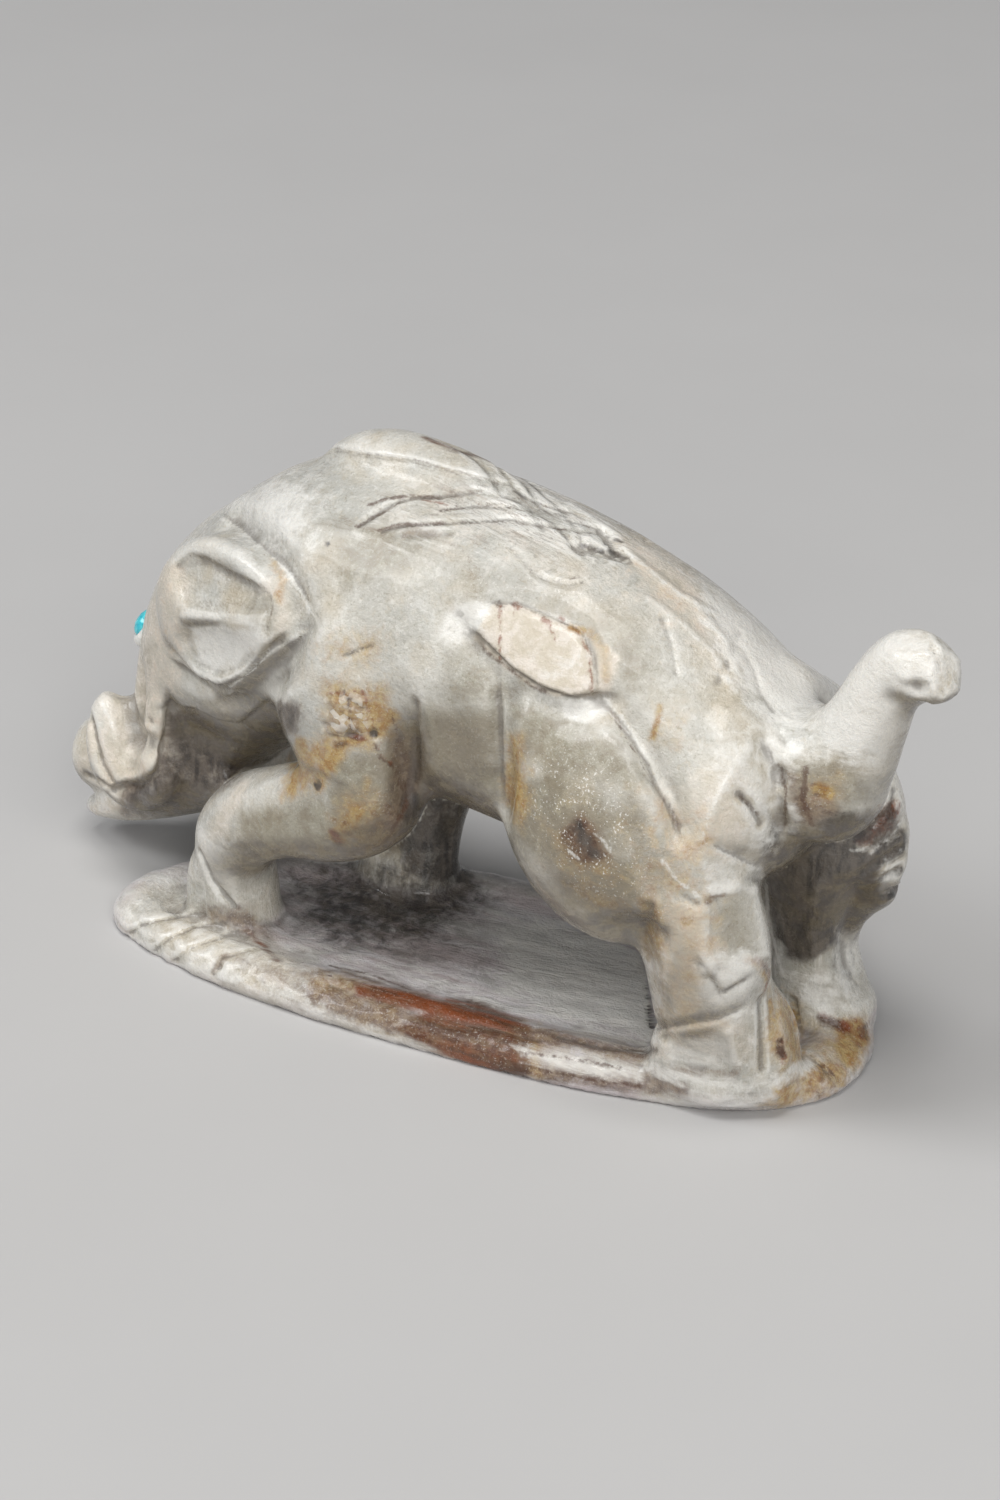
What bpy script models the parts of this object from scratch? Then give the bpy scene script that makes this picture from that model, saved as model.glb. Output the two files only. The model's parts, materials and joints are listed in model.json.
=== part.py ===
"""A small hog carved from one block of stone, walking on a low oval plinth, with inlaid eyes.

Metres, +Z up. The hog faces -X and its left side faces -Y. The origin lies on the flat underside
of the plinth, below the middle of the trunk and on the hog's own mid-line. The figure is a free
form: its stations are written in seventy-sevenths of its length, measured up from the soles. The
plinth, the eyes and their sockets have sizes of their own.
"""
import math

import bmesh
import bpy
import numpy as np
from mathutils import Matrix, Vector
from mathutils.bvhtree import BVHTree

# Driving dimensions in metres
HOG_LENGTH = 0.077            # snout to tail tip
PLINTH_THICKNESS = 0.0028     # underside to the highest part of the rim
PLINTH_DISH = 0.0009          # how far the middle of the plinth is worn below its rim
PLINTH_SLOPE = 0.0030         # width of the slope that leads up to the rim
PLINTH_FRONT_MARGIN = 0.0094  # plinth beyond the middle of the leading hoof
PLINTH_REAR_MARGIN = 0.0055   # plinth behind the middle of the last foot
PLINTH_NEAR_MARGIN = 0.0054   # plinth outside the middle of the left hind foot
PLINTH_FAR_MARGIN = 0.0047    # plinth outside the middle of the right forefoot
EYE_DIAMETER = 0.0023
EYE_STAND_OUT = 0.0007        # dome of the inlay above the stone
SOCKET_DEPTH = 0.0012
EYE_CLEARANCE = 0.0003        # between an inlay and its socket, all round and below
PLINTH_EDGE = 0.0003          # rounding of the plinth's outer edge

# Mesh fineness
VOXEL = 0.00042               # grid on which the carved volumes are fused into one skin
CARVING_TRIANGLES = 9200
LOFT_SIDES = 28
LOFT_STEPS = 5
BLOB_SIDES = 24
BLOB_RINGS = 16
POLISH_PASSES = 8             # smoothing of the fused skin
SHARP_ANGLE = 50.0            # an edge that turns by more stays crisp
GROUND_ALLOWANCE = 0.0015     # depth below the underside that is sawn off
EAR_FLOOR = 0.35              # flat share of the ear's hollows
LEDGE_EDGE = 0.5              # softness of a ledge's edge, in figure units

# One figure unit and the level of the soles
UNIT = HOG_LENGTH / 77
SOLE = PLINTH_THICKNESS - PLINTH_DISH

# Plan of the plinth
PLINTH_SKEW = 7.0             # degrees between the oval and the hog
PLINTH_ROUNDING = 0.8         # 1 is an ellipse, less is squarer
PLINTH_TIP_TAPER = 0.25       # how much narrower the oval is towards its front tip
PLINTH_TIP_BEND = 0.0032      # how far that tip swings to the left
PLINTH_SIDES = 72

# Middles of the feet, left fore, right fore, left hind and right hind
FEET = ((-21.0, -5.0), (-12.0, 6.0), (21.9, -3.7), (23.2, 7.1))

# The head, turned to the right by this angle about a point in the neck
HEAD_YAW = 3.0
NECK_PIVOT = (-14.0, 0.0, 26.0)

# The eyes are drilled outwards from a point inside the head, by this angle off the bridge
EYE_CORE = (-26.6, 0.0, 16.6)
EYE_ANGLE = 27.0
BRIDGE_SLOPE = 50.0
EYE_SIDES = 20
DOME_STEPS = 4


def clear_scene():
    for item in list(bpy.data.objects):
        bpy.data.objects.remove(item, do_unlink=True)


def place(x, y, z):
    """A point of the figure, in metres: x forward is negative, z is measured from the soles."""
    return Vector((x * UNIT, y * UNIT, SOLE + z * UNIT))


def spline(rows, steps):
    """Rows of numbers joined by a smooth curve through every row."""
    rows = np.array(rows, dtype=float)
    padded = np.vstack([2 * rows[0] - rows[1], rows, 2 * rows[-1] - rows[-2]])
    out = []
    for i in range(1, len(padded) - 2):
        before, start, end, after = padded[i - 1:i + 3]
        for k in range(steps):
            t = k / steps
            out.append(0.5 * (2 * start + (end - before) * t
                              + (2 * before - 5 * start + 4 * end - after) * t ** 2
                              + (3 * start - before - 3 * end + after) * t ** 3))
    out.append(rows[-1])
    return np.array(out)


def loft(bm, rows, power=2.0, turn=None):
    """Closed oval tube through rows of (x, y, z, half width across, half depth)."""
    table = spline(rows, LOFT_STEPS)
    centres = [place(*row[:3]) for row in table]
    rings = []
    for i, row in enumerate(table):
        along = (centres[min(i + 1, len(table) - 1)] - centres[max(i - 1, 0)]).normalized()
        across = Vector((0, 1, 0))
        across = (across - along * across.dot(along)).normalized()
        up = along.cross(across)
        ring = []
        for k in range(LOFT_SIDES):
            angle = 2 * math.pi * k / LOFT_SIDES
            c, s = math.cos(angle), math.sin(angle)
            c = math.copysign(abs(c) ** (2 / power), c) * max(row[3], 0.05) * UNIT
            s = math.copysign(abs(s) ** (2 / power), s) * max(row[4], 0.05) * UNIT
            point = centres[i] + across * c + up * s
            ring.append(bm.verts.new(turn @ point if turn else point))
        rings.append(ring)
    close_tube(bm, rings)


def close_tube(bm, rings):
    """Faces between neighbouring rings, and one over each end."""
    for low, high in zip(rings, rings[1:]):
        for k, vert in enumerate(low):
            n = (k + 1) % len(low)
            bm.faces.new((vert, low[n], high[n], high[k]))
    bm.faces.new(rings[0][::-1])
    bm.faces.new(rings[-1])


def blob(bm, centre, radii, angles=(0, 0, 0), turn=None):
    """Ellipsoid with its axes turned by angles in degrees about X, Y and Z."""
    spin = Matrix.Rotation(math.radians(angles[2]), 4, "Z")
    spin = spin @ Matrix.Rotation(math.radians(angles[1]), 4, "Y")
    spin = spin @ Matrix.Rotation(math.radians(angles[0]), 4, "X")
    size = Matrix.Diagonal((radii[0] * UNIT, radii[1] * UNIT, radii[2] * UNIT, 1))
    matrix = Matrix.Translation(place(*centre)) @ spin @ size
    if turn:
        matrix = turn @ matrix
    bmesh.ops.create_uvsphere(bm, u_segments=BLOB_SIDES, v_segments=BLOB_RINGS, radius=1, matrix=matrix)


def head_turn():
    """The small turn of the head to the hog's right."""
    pivot = Matrix.Translation(place(*NECK_PIVOT))
    return pivot @ Matrix.Rotation(math.radians(-HEAD_YAW), 4, "Z") @ pivot.inverted()


def trunk(bm):
    loft(bm, [
        (26.6, 0, 21.5, 3.0, 3.0),
        (24.5, 0, 21.6, 7.5, 6.0),
        (21.0, 0, 21.8, 9.4, 7.7),
        (16.0, 0, 22.7, 10.4, 9.5),
        (9.0, 0, 24.5, 11.0, 11.0),
        (2.0, 0, 25.7, 11.2, 11.7),
        (-5.0, 0, 26.4, 11.2, 11.7),
        (-11.0, 0, 26.5, 10.6, 11.0),
        (-16.0, 0, 24.6, 9.4, 9.9),
        (-21.0, 0, 21.4, 8.0, 8.8),
    ])


def crest(bm):
    """Bristled ridge along the top of the shoulders."""
    loft(bm, [
        (-14.6, 0.6, 34.4, 1.6, 1.6),
        (-12.4, 0.6, 36.2, 2.8, 2.5),
        (-9.0, 0.6, 37.0, 3.2, 2.9),
        (-4.0, 0.6, 36.9, 3.0, 2.7),
        (2.0, 0.6, 35.6, 2.6, 2.2),
        (9.0, 0.6, 33.6, 2.2, 1.7),
        (16.0, 0.4, 30.6, 1.8, 1.4),
    ])


def skull(bm, turn):
    loft(bm, [
        (-16.0, 0, 24.8, 8.6, 9.4),
        (-21.3, 0, 21.0, 8.0, 9.0),
        (-25.4, 0, 15.5, 6.6, 7.2),
        (-29.2, 0, 10.2, 5.0, 4.7),
        (-33.0, 0, 7.4, 4.1, 3.8),
        (-36.8, 0, 5.9, 3.5, 3.3),
        (-38.8, 0, 5.4, 3.1, 3.1),
    ], turn=turn)


def nose_disc(bm, turn):
    blob(bm, (-38.4, 0, 5.6), (1.7, 3.1, 3.2), turn=turn)


def lower_jaw(bm, turn):
    loft(bm, [
        (-22.0, 0, 11.0, 5.0, 4.5),
        (-27.0, 0, 7.6, 4.4, 3.3),
        (-33.0, 0, 3.7, 3.6, 2.3),
        (-37.3, 0, 1.5, 2.5, 1.5),
        (-40.1, 0, 0.0, 0.9, 0.6),
    ], turn=turn)


def tusk(bm, side, turn):
    loft(bm, [
        (-28.8, 3.2 * side, 7.0, 1.8, 1.8),
        (-30.8, 4.1 * side, 6.7, 2.3, 2.3),
        (-32.4, 4.6 * side, 8.5, 2.1, 2.3),
        (-33.0, 4.4 * side, 11.2, 1.8, 2.1),
        (-33.1, 4.0 * side, 13.0, 1.4, 1.6),
        (-33.1, 3.8 * side, 14.1, 0.7, 0.8),
    ], turn=turn)


def cheek_ridge(bm, side, turn):
    loft(bm, [
        (-24.6, 4.8 * side, 19.6, 1.2, 1.2),
        (-26.0, 5.4 * side, 16.0, 1.6, 1.6),
        (-26.6, 5.6 * side, 12.0, 1.7, 1.7),
        (-27.4, 5.3 * side, 8.8, 1.8, 1.8),
        (-29.4, 4.4 * side, 6.9, 1.7, 1.7),
    ], turn=turn)


def ear(bm, side, turn):
    """Thick fan laid back along the neck."""
    blob(bm, (-17.6, 8.2 * side, 26.2), (8.4, 2.3, 6.2), (4 * side, -15, 13 * side), turn=turn)


def hoof(bm, middle, height, half_width, half_depth):
    """Blunt block that stands out a little below its leg."""
    x, y = middle
    loft(bm, [
        (x, y, -0.8, half_width, half_depth),
        (x, y, 0.4 * height, half_width, half_depth),
        (x + 0.2, y, 0.85 * height, 0.96 * half_width, 0.96 * half_depth),
        (x + 0.5, y, height, 0.8 * half_width, 0.8 * half_depth),
    ], power=2.8)


def fore_leg_near(bm):
    blob(bm, (-6.8, -7.8, 24.0), (6.3, 4.6, 8.5), (0, 8, 0))
    loft(bm, [
        (-6.5, -8.2, 25.0, 3.6, 4.8),
        (-5.8, -8.5, 20.0, 3.8, 5.2),
        (-5.4, -8.5, 16.4, 3.8, 4.5),
        (-8.4, -8.3, 13.8, 3.7, 4.0),
        (-12.5, -7.8, 12.2, 3.4, 3.6),
        (-16.6, -7.0, 10.0, 3.2, 3.5),
        (-19.2, -6.2, 7.2, 3.1, 3.3),
        (-19.6, -5.7, 4.2, 3.0, 3.0),
        (-19.4, -5.5, 1.8, 2.9, 3.0),
        (-19.4, -5.4, -0.8, 2.9, 3.0),
    ])
    hoof(bm, (-21.2, -5.2), 4.6, 2.9, 2.7)


def fore_leg_far(bm):
    blob(bm, (-6.5, 7.8, 23.0), (6.0, 4.2, 8.0))
    loft(bm, [
        (-6.0, 8.0, 24.0, 3.4, 4.6),
        (-7.2, 8.0, 17.0, 3.4, 3.8),
        (-9.4, 7.6, 11.0, 3.0, 3.1),
        (-10.8, 6.8, 6.0, 2.8, 2.9),
        (-11.2, 6.2, 2.4, 2.8, 3.0),
        (-11.2, 6.0, -0.8, 2.8, 3.0),
    ])
    hoof(bm, (-12.6, 6.0), 3.4, 3.0, 3.3)


def hind_leg_near(bm):
    blob(bm, (14.3, -7.4, 19.6), (8.4, 5.0, 9.5), (0, -24, 0))
    loft(bm, [
        (15.5, -7.4, 20.0, 4.2, 7.4),
        (19.0, -7.2, 15.4, 4.3, 6.5),
        (21.2, -6.2, 12.2, 4.2, 5.0),
        (21.3, -5.2, 8.0, 3.9, 4.5),
        (21.6, -4.4, 4.4, 3.7, 4.6),
        (21.8, -4.0, 1.6, 3.4, 4.4),
        (21.8, -3.8, -0.8, 3.4, 4.4),
    ])
    hoof(bm, (20.9, -4.2), 3.4, 3.7, 4.1)
    loft(bm, [
        (25.4, -3.0, -0.8, 2.5, 1.8),
        (25.2, -3.0, 3.4, 2.4, 1.7),
        (24.6, -3.2, 5.8, 2.0, 1.5),
        (23.6, -3.4, 7.6, 1.4, 1.2),
    ], power=2.4)


def hind_leg_far(bm):
    blob(bm, (14.3, 7.2, 19.5), (8.4, 4.8, 9.0), (0, -24, 0))
    loft(bm, [
        (17.0, 7.0, 20.5, 4.2, 7.8),
        (21.8, 7.2, 17.2, 4.2, 7.2),
        (23.2, 7.0, 13.2, 4.5, 6.4),
        (22.7, 7.1, 9.4, 3.8, 4.9),
        (22.6, 7.1, 6.0, 3.4, 3.9),
        (22.9, 7.1, 3.0, 3.4, 3.9),
        (23.0, 7.1, -0.8, 3.4, 3.9),
    ])
    hoof(bm, (23.0, 7.1), 3.2, 3.6, 4.4)


def tail(bm):
    blob(bm, (26.6, 0, 23.5), (4.8, 4.6, 4.8))
    loft(bm, [
        (24.0, 0, 22.5, 3.6, 3.8),
        (27.8, 0, 24.6, 3.4, 3.7),
        (29.6, 0, 28.0, 2.8, 3.0),
        (30.9, 0, 31.2, 2.4, 2.6),
        (32.4, 0, 33.5, 2.3, 2.5),
        (33.8, 0, 33.2, 2.5, 2.6),
        (34.5, 0, 32.2, 2.2, 2.1),
        (34.7, 0, 31.3, 1.5, 1.3),
    ])


def plinth(bm):
    """Oval slab lying askew under the feet, with a sloping rim and a dished top."""
    skew = math.radians(PLINTH_SKEW)
    along = Vector((math.cos(skew), math.sin(skew), 0))
    across = Vector((-math.sin(skew), math.cos(skew), 0))
    spots = [place(x, y, 0) for x, y in FEET]
    lengthways = [spot.dot(along) for spot in spots]
    sideways = [spot.dot(across) for spot in spots]
    front = min(lengthways) - PLINTH_FRONT_MARGIN
    rear = max(lengthways) + PLINTH_REAR_MARGIN
    near = min(sideways) - PLINTH_NEAR_MARGIN
    far = max(sideways) + PLINTH_FAR_MARGIN
    centre = along * (front + rear) / 2 + across * (near + far) / 2
    half_length = (rear - front) / 2
    half_width = (far - near) / 2
    levels = [
        (PLINTH_EDGE, -GROUND_ALLOWANCE),
        (PLINTH_EDGE, 0.0),
        (0.0, 0.25 * PLINTH_THICKNESS),
        (PLINTH_EDGE, 0.55 * PLINTH_THICKNESS),
        (0.4 * PLINTH_SLOPE, 0.82 * PLINTH_THICKNESS),
        (PLINTH_SLOPE, PLINTH_THICKNESS),
        (1.6 * PLINTH_SLOPE, SOLE),
    ]
    rings = []
    for inset, height in levels:
        ring = []
        for k in range(PLINTH_SIDES):
            angle = 2 * math.pi * k / PLINTH_SIDES
            c, s = math.cos(angle), math.sin(angle)
            c = math.copysign(abs(c) ** PLINTH_ROUNDING, c)
            s = math.copysign(abs(s) ** PLINTH_ROUNDING, s)
            to_tip = max(0, -c) ** 2
            width = (half_width - inset) * (1 - PLINTH_TIP_TAPER * to_tip)
            point = centre + along * c * (half_length - inset)
            point += across * (s * width - PLINTH_TIP_BEND * to_tip)
            ring.append(bm.verts.new((point.x, point.y, height)))
        rings.append(ring)
    close_tube(bm, rings)


def fused_mesh():
    """Every volume of the block fused into one even skin."""
    bm = bmesh.new()
    turn = head_turn()
    trunk(bm)
    crest(bm)
    skull(bm, turn)
    nose_disc(bm, turn)
    lower_jaw(bm, turn)
    for side in (-1, 1):
        tusk(bm, side, turn)
        cheek_ridge(bm, side, turn)
        ear(bm, side, turn)
    fore_leg_near(bm)
    fore_leg_far(bm)
    hind_leg_near(bm)
    hind_leg_far(bm)
    tail(bm)
    plinth(bm)
    bmesh.ops.recalc_face_normals(bm, faces=bm.faces)
    mesh = bpy.data.meshes.new("volumes")
    bm.to_mesh(mesh)
    bm.free()
    rough = bpy.data.objects.new("volumes", mesh)
    bpy.context.collection.objects.link(rough)
    fuse = rough.modifiers.new("fuse", "REMESH")
    fuse.mode = "VOXEL"
    fuse.voxel_size = VOXEL
    smooth = rough.modifiers.new("polish", "SMOOTH")
    smooth.factor = 0.5
    smooth.iterations = POLISH_PASSES
    skin = evaluated_copy(rough)
    bpy.data.objects.remove(rough, do_unlink=True)
    return skin


def falloff(share):
    """1 under the middle of a tool, fading smoothly to 0 at its edge."""
    near = np.clip(1 - share, 0, 1)
    return near * near * (3 - 2 * near)


def nearest_on_line(spots, line):
    """For each spot, the nearest point of a line of straight runs."""
    best = np.full(len(spots), np.inf)
    nearest = np.zeros_like(spots)
    for start, end in zip(line, line[1:]):
        run = end - start
        share = np.clip((spots - start) @ run / (run @ run), 0, 1)
        point = start + share[:, None] * run
        gap = np.linalg.norm(spots - point, axis=1)
        closer = gap < best
        best[closer] = gap[closer]
        nearest[closer] = point[closer]
    return nearest, best


class Skin:
    """The fused skin in figure units, and the tools that carve it."""

    def __init__(self, mesh):
        self.mesh = mesh
        flat = np.empty(len(mesh.vertices) * 3)
        mesh.vertices.foreach_get("co", flat)
        self.spots = (flat.reshape(-1, 3) - (0, 0, SOLE)) / UNIT
        self.normals = np.empty_like(self.spots)
        self.store()

    def store(self):
        self.mesh.vertices.foreach_set("co", (self.spots * UNIT + (0, 0, SOLE)).ravel())
        self.mesh.update()
        flat = np.empty(len(self.spots) * 3)
        self.mesh.vertex_normals.foreach_get("vector", flat)
        self.normals = flat.reshape(-1, 3)

    def push(self, depth):
        self.spots -= self.normals * depth[:, None]
        self.store()

    def groove(self, line, width, depth):
        """Cut along a line; a negative depth raises a ridge."""
        gap = nearest_on_line(self.spots, np.array(line, float))[1]
        self.push(falloff(gap / width) * depth)

    def ledge(self, line, width, depth, towards):
        """Sink only the side of a line that lies towards a direction."""
        nearest, gap = nearest_on_line(self.spots, np.array(line, float))
        offset = (self.spots - nearest) @ np.array(towards, float)
        self.push(falloff(gap / width) * np.clip(offset / LEDGE_EDGE, 0, 1) * depth)

    def bowl(self, centre, radii, depth, angles=(0, 0, 0), floor=0.0):
        """Sink an oval hollow with a share of flat floor; a negative depth raises a swelling."""
        spin = Matrix.Rotation(math.radians(angles[2]), 3, "Z")
        spin = spin @ Matrix.Rotation(math.radians(angles[1]), 3, "Y")
        spin = spin @ Matrix.Rotation(math.radians(angles[0]), 3, "X")
        local = (self.spots - np.array(centre, float)) @ np.array(spin)
        share = np.linalg.norm(local / np.array(radii, float), axis=1)
        self.push(falloff(np.clip((share - floor) / (1 - floor), 0, None)) * depth)

    def rasp(self, centre, normal, radius):
        """File a flat facet: what stands above the plane is brought down to it."""
        normal = np.array(normal, float) / np.linalg.norm(normal)
        offset = self.spots - np.array(centre, float)
        above = np.clip(offset @ normal, 0, None)
        inside = np.clip((radius - np.linalg.norm(offset, axis=1)) / (0.3 * radius), 0, 1)
        self.spots -= normal * (above * inside)[:, None]
        self.store()


def mirrored(point, side):
    """A place given on the left side, on the left (-1) or the right (1)."""
    return (point[0], -side * point[1], point[2])


def on_head(point, side):
    """A place given on the left of the unturned head, mirrored and turned with it."""
    turned = head_turn() @ place(*mirrored(point, side))
    return (turned.x / UNIT, turned.y / UNIT, (turned.z - SOLE) / UNIT)


def carve_ear(skin, side):
    skin.groove([on_head(p, side) for p in (
        (-22.6, -7.6, 21.9), (-19.4, -8.9, 19.9), (-15.6, -10.0, 20.3), (-11.6, -10.9, 23.4),
        (-8.6, -11.4, 28.0), (-10.4, -10.0, 32.6), (-15.0, -7.6, 33.8), (-20.2, -4.8, 32.6))], 1.7, 1.1)
    for centre, radii, depth, pitch in (
            ((-17.5, -9.8, 29.4), (6.6, 3.4, 2.7), 1.3, -5),
            ((-16.9, -10.5, 24.9), (5.9, 3.4, 2.9), 1.4, -20)):
        skin.bowl(on_head(centre, side), radii, depth, (0, pitch, 13 * side), EAR_FLOOR)


def carve_face(skin, side):
    skin.bowl(on_head((-32.2, 0, 16.8), side), (3.4, 5.0, 4.2), 0.5)
    skin.groove([on_head(p, side) for p in (
        (-28.6, -4.8, 17.6), (-28.9, -5.4, 14.6), (-29.2, -5.8, 11.4))], 1.4, 1.1)
    skin.groove([on_head(p, side) for p in (
        (-38.8, 0, 2.3), (-38.2, -2.6, 2.5), (-35.8, -4.2, 3.8))], 0.9, 0.9)
    skin.bowl(on_head((-23.0, -6.0, 13.0), side), (5.0, 3.0, 5.0), 1.2)


def carve_shoulder(skin, side):
    skin.groove([mirrored(p, side) for p in (
        (-1.6, -11.4, 26.6), (-0.4, -11.0, 23.3), (-0.6, -10.2, 20.0), (-1.2, -9.6, 17.2))], 1.8, 1.1)
    skin.bowl(mirrored((3.6, -11.0, 24.0), side), (4.0, 3.0, 6.0), 0.7)


def carve_flank(skin, side):
    skin.groove([mirrored(p, side) for p in (
        (7.6, -10.4, 28.0), (7.6, -11.0, 25.6), (7.8, -11.0, 22.6), (7.6, -10.0, 19.4))], 1.6, 1.0)
    lens_low = [mirrored(p, side) for p in (
        (3.6, -8.6, 33.0), (5.0, -9.2, 31.2), (7.7, -9.8, 29.9), (11.6, -9.6, 29.0), (14.5, -8.4, 29.6))]
    lens_high = [mirrored(p, side) for p in (
        (3.6, -8.6, 33.0), (5.6, -7.5, 33.7), (8.2, -6.5, 34.0), (11.4, -6.2, 33.3), (14.5, -8.4, 29.6))]
    skin.ledge(lens_low, 3.2, 0.9, mirrored((-0.35, -0.55, -0.75), side))
    skin.groove(lens_high, 0.8, 0.25)
    hip_crease = [mirrored(p, side) for p in (
        (14.5, -8.4, 29.6), (16.2, -8.7, 28.3), (18.3, -8.9, 26.8), (20.3, -9.3, 24.6), (21.8, -9.6, 21.4))]
    skin.groove(hip_crease, 1.5, 0.9)


def carve_rump(skin, side):
    skin.groove([mirrored(p, side) for p in (
        (22.6, -4.2, 28.2), (22.6, -7.3, 25.8), (22.6, -8.8, 22.7), (23.0, -9.4, 19.9))], 2.8, -0.5)
    skin.bowl(mirrored((19.8, -7.8, 26.6), side), (3.4, 3.0, 3.4), 0.5)
    skin.groove([mirrored(p, side) for p in (
        (24.6, -3.9, 26.6), (25.6, -4.4, 24.0), (25.8, -4.4, 21.4))], 1.4, 0.8)


def carve_hind_leg(skin):
    skin.groove([(23.4, -9.8, 19.6), (25.6, -7.4, 19.2)], 1.0, 0.7)
    skin.rasp((24.4, -8.6, 14.6), (0.72, -0.66, 0.12), 4.6)
    skin.rasp((19.4, -9.4, 12.0), (-0.5, -0.86, 0.0), 4.4)
    skin.rasp((18.2, -8.6, 8.4), (-0.5, -0.86, 0.05), 3.4)
    skin.groove([(16.6, -4.4, 3.9), (18.0, -7.2, 3.8), (21.0, -8.2, 3.7), (24.2, -7.0, 3.6)], 0.7, 0.35)


def carve_far_hind_leg(skin):
    for height in (16.6, 14.0, 11.6):
        skin.groove([(25.0, 10.6, height), (28.6, 8.6, height + 0.4), (29.4, 6.0, height + 0.6)], 0.8, 0.6)
    skin.groove([(27.0, 10.0, 3.2), (27.4, 7.0, 3.2), (26.8, 4.4, 3.2)], 0.8, 0.5)


def carve_fore_hooves(skin):
    skin.groove([(-22.8, -6.0, 7.2), (-20.6, -8.4, 6.6), (-19.3, -8.4, 4.6), (-18.3, -8.0, 1.6)], 0.8, 0.5)
    skin.groove([(-15.2, 8.0, 3.2), (-13.0, 9.2, 3.4), (-9.6, 9.0, 3.2)], 0.8, 0.5)


def carve_crest(skin):
    skin.ledge([
        (-13.6, -0.9, 38.0), (-8.7, -1.9, 38.8), (-5.3, -1.9, 38.8), (-1.8, -1.6, 38.3),
        (2.4, -1.5, 37.0), (8.0, -1.4, 34.9)], 2.8, 0.4, (0, -0.9, -0.4))


def carve_tail(skin):
    for centre, normal, radius in (
            ((30.6, -1.9, 34.1), (-0.55, -0.7, 0.5), 3.2),
            ((33.4, -0.9, 35.6), (-0.1, -0.45, 0.9), 3.4),
            ((35.8, -0.7, 34.2), (0.8, -0.45, 0.35), 2.8),
            ((34.6, -2.0, 32.8), (0.25, -0.95, -0.1), 2.8)):
        skin.rasp(centre, normal, radius)
    skin.groove([(32.6, -2.4, 31.6), (34.0, -2.2, 31.4), (35.2, 0, 31.0)], 0.9, 0.5)
    skin.bowl((28.6, -4.2, 24.0), (2.0, 2.0, 3.0), 0.6)


def carve_plinth(skin):
    """Shell-like steps at the front of the slab."""
    for reach in (0.0, 2.4, 5.0):
        skin.groove([(-25.6 + reach, -4.6 - 0.5 * reach, 0.8), (-26.4 + reach, -7.6 - 0.3 * reach, 0.4),
                     (-25.0 + reach, -11.4 - 0.2 * reach, -1.4)], 0.9, 0.35)


def carved_mesh():
    mesh = fused_mesh()
    skin = Skin(mesh)
    for side in (-1, 1):
        carve_ear(skin, side)
        carve_face(skin, side)
        carve_shoulder(skin, side)
        carve_flank(skin, side)
        carve_rump(skin, side)
    carve_hind_leg(skin)
    carve_far_hind_leg(skin)
    carve_fore_hooves(skin)
    carve_crest(skin)
    carve_tail(skin)
    carve_plinth(skin)
    return mesh


def evaluated_copy(thing):
    """The mesh that an object's modifiers make."""
    return bpy.data.meshes.new_from_object(thing.evaluated_get(bpy.context.evaluated_depsgraph_get()))


def thin_out(mesh, triangles):
    """The same skin with about the given number of triangles."""
    bm = bmesh.new()
    bm.from_mesh(mesh)
    bmesh.ops.triangulate(bm, faces=bm.faces)
    bm.to_mesh(mesh)
    bm.free()
    whole = bpy.data.objects.new("whole", mesh)
    bpy.context.collection.objects.link(whole)
    decimate = whole.modifiers.new("thin", "DECIMATE")
    decimate.ratio = triangles / len(mesh.polygons)
    thin = evaluated_copy(whole)
    bpy.data.objects.remove(whole, do_unlink=True)
    return thin


def cut_flat(mesh):
    """Saw the skin off at the ground and close it with a flat underside."""
    bm = bmesh.new()
    bm.from_mesh(mesh)
    geometry = bm.verts[:] + bm.edges[:] + bm.faces[:]
    bmesh.ops.bisect_plane(bm, geom=geometry, plane_co=(0, 0, 0), plane_no=(0, 0, -1), clear_outer=True)
    rim = [edge for edge in bm.edges if edge.is_boundary]
    for vert in {v for edge in rim for v in edge.verts}:
        vert.co.z = 0
    bmesh.ops.edgeloop_fill(bm, edges=rim)
    bmesh.ops.recalc_face_normals(bm, faces=bm.faces)
    bmesh.ops.triangulate(bm, faces=bm.faces)
    bm.to_mesh(mesh)
    bm.free()


def eye_seat(hog, side):
    """Where the drill meets the face, and its direction out of the stone."""
    pitch = math.radians(BRIDGE_SLOPE)
    angle = math.radians(EYE_ANGLE)
    brow = Vector((-math.sin(pitch), 0, math.cos(pitch)))
    outward = brow * math.cos(angle) + Vector((0, side, 0)) * math.sin(angle)
    turn = head_turn()
    outward = (turn.to_3x3() @ outward).normalized()
    core = turn @ place(*EYE_CORE)
    tree = BVHTree.FromObject(hog, bpy.context.evaluated_depsgraph_get())
    spot = tree.ray_cast(core, outward)[0]
    return spot, outward


def peg(name, spot, outward, radius, bottom, top, dome):
    """Round peg along outward through spot, from bottom to top, with a flat or a domed end."""
    profile = [(0, bottom), (radius, bottom), (radius, top)]
    for k in range(1, DOME_STEPS):
        angle = math.pi / 2 * k / DOME_STEPS
        if dome:
            profile.append((radius * math.cos(angle), top + dome * math.sin(angle)))
    profile.append((0, top + dome))
    bm = bmesh.new()
    verts = [bm.verts.new((r, 0, z)) for r, z in profile]
    edges = [bm.edges.new(pair) for pair in zip(verts, verts[1:])]
    bmesh.ops.spin(bm, geom=verts + edges, angle=2 * math.pi, steps=EYE_SIDES,
                   axis=(0, 0, 1), cent=(0, 0, 0))
    bmesh.ops.remove_doubles(bm, verts=bm.verts, dist=0.00001)
    bmesh.ops.recalc_face_normals(bm, faces=bm.faces)
    mesh = bpy.data.meshes.new(name)
    bm.to_mesh(mesh)
    bm.free()
    thing = bpy.data.objects.new(name, mesh)
    thing.location = spot
    thing.rotation_euler = outward.to_track_quat("Z", "Y").to_euler()
    bpy.context.collection.objects.link(thing)
    return thing


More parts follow.
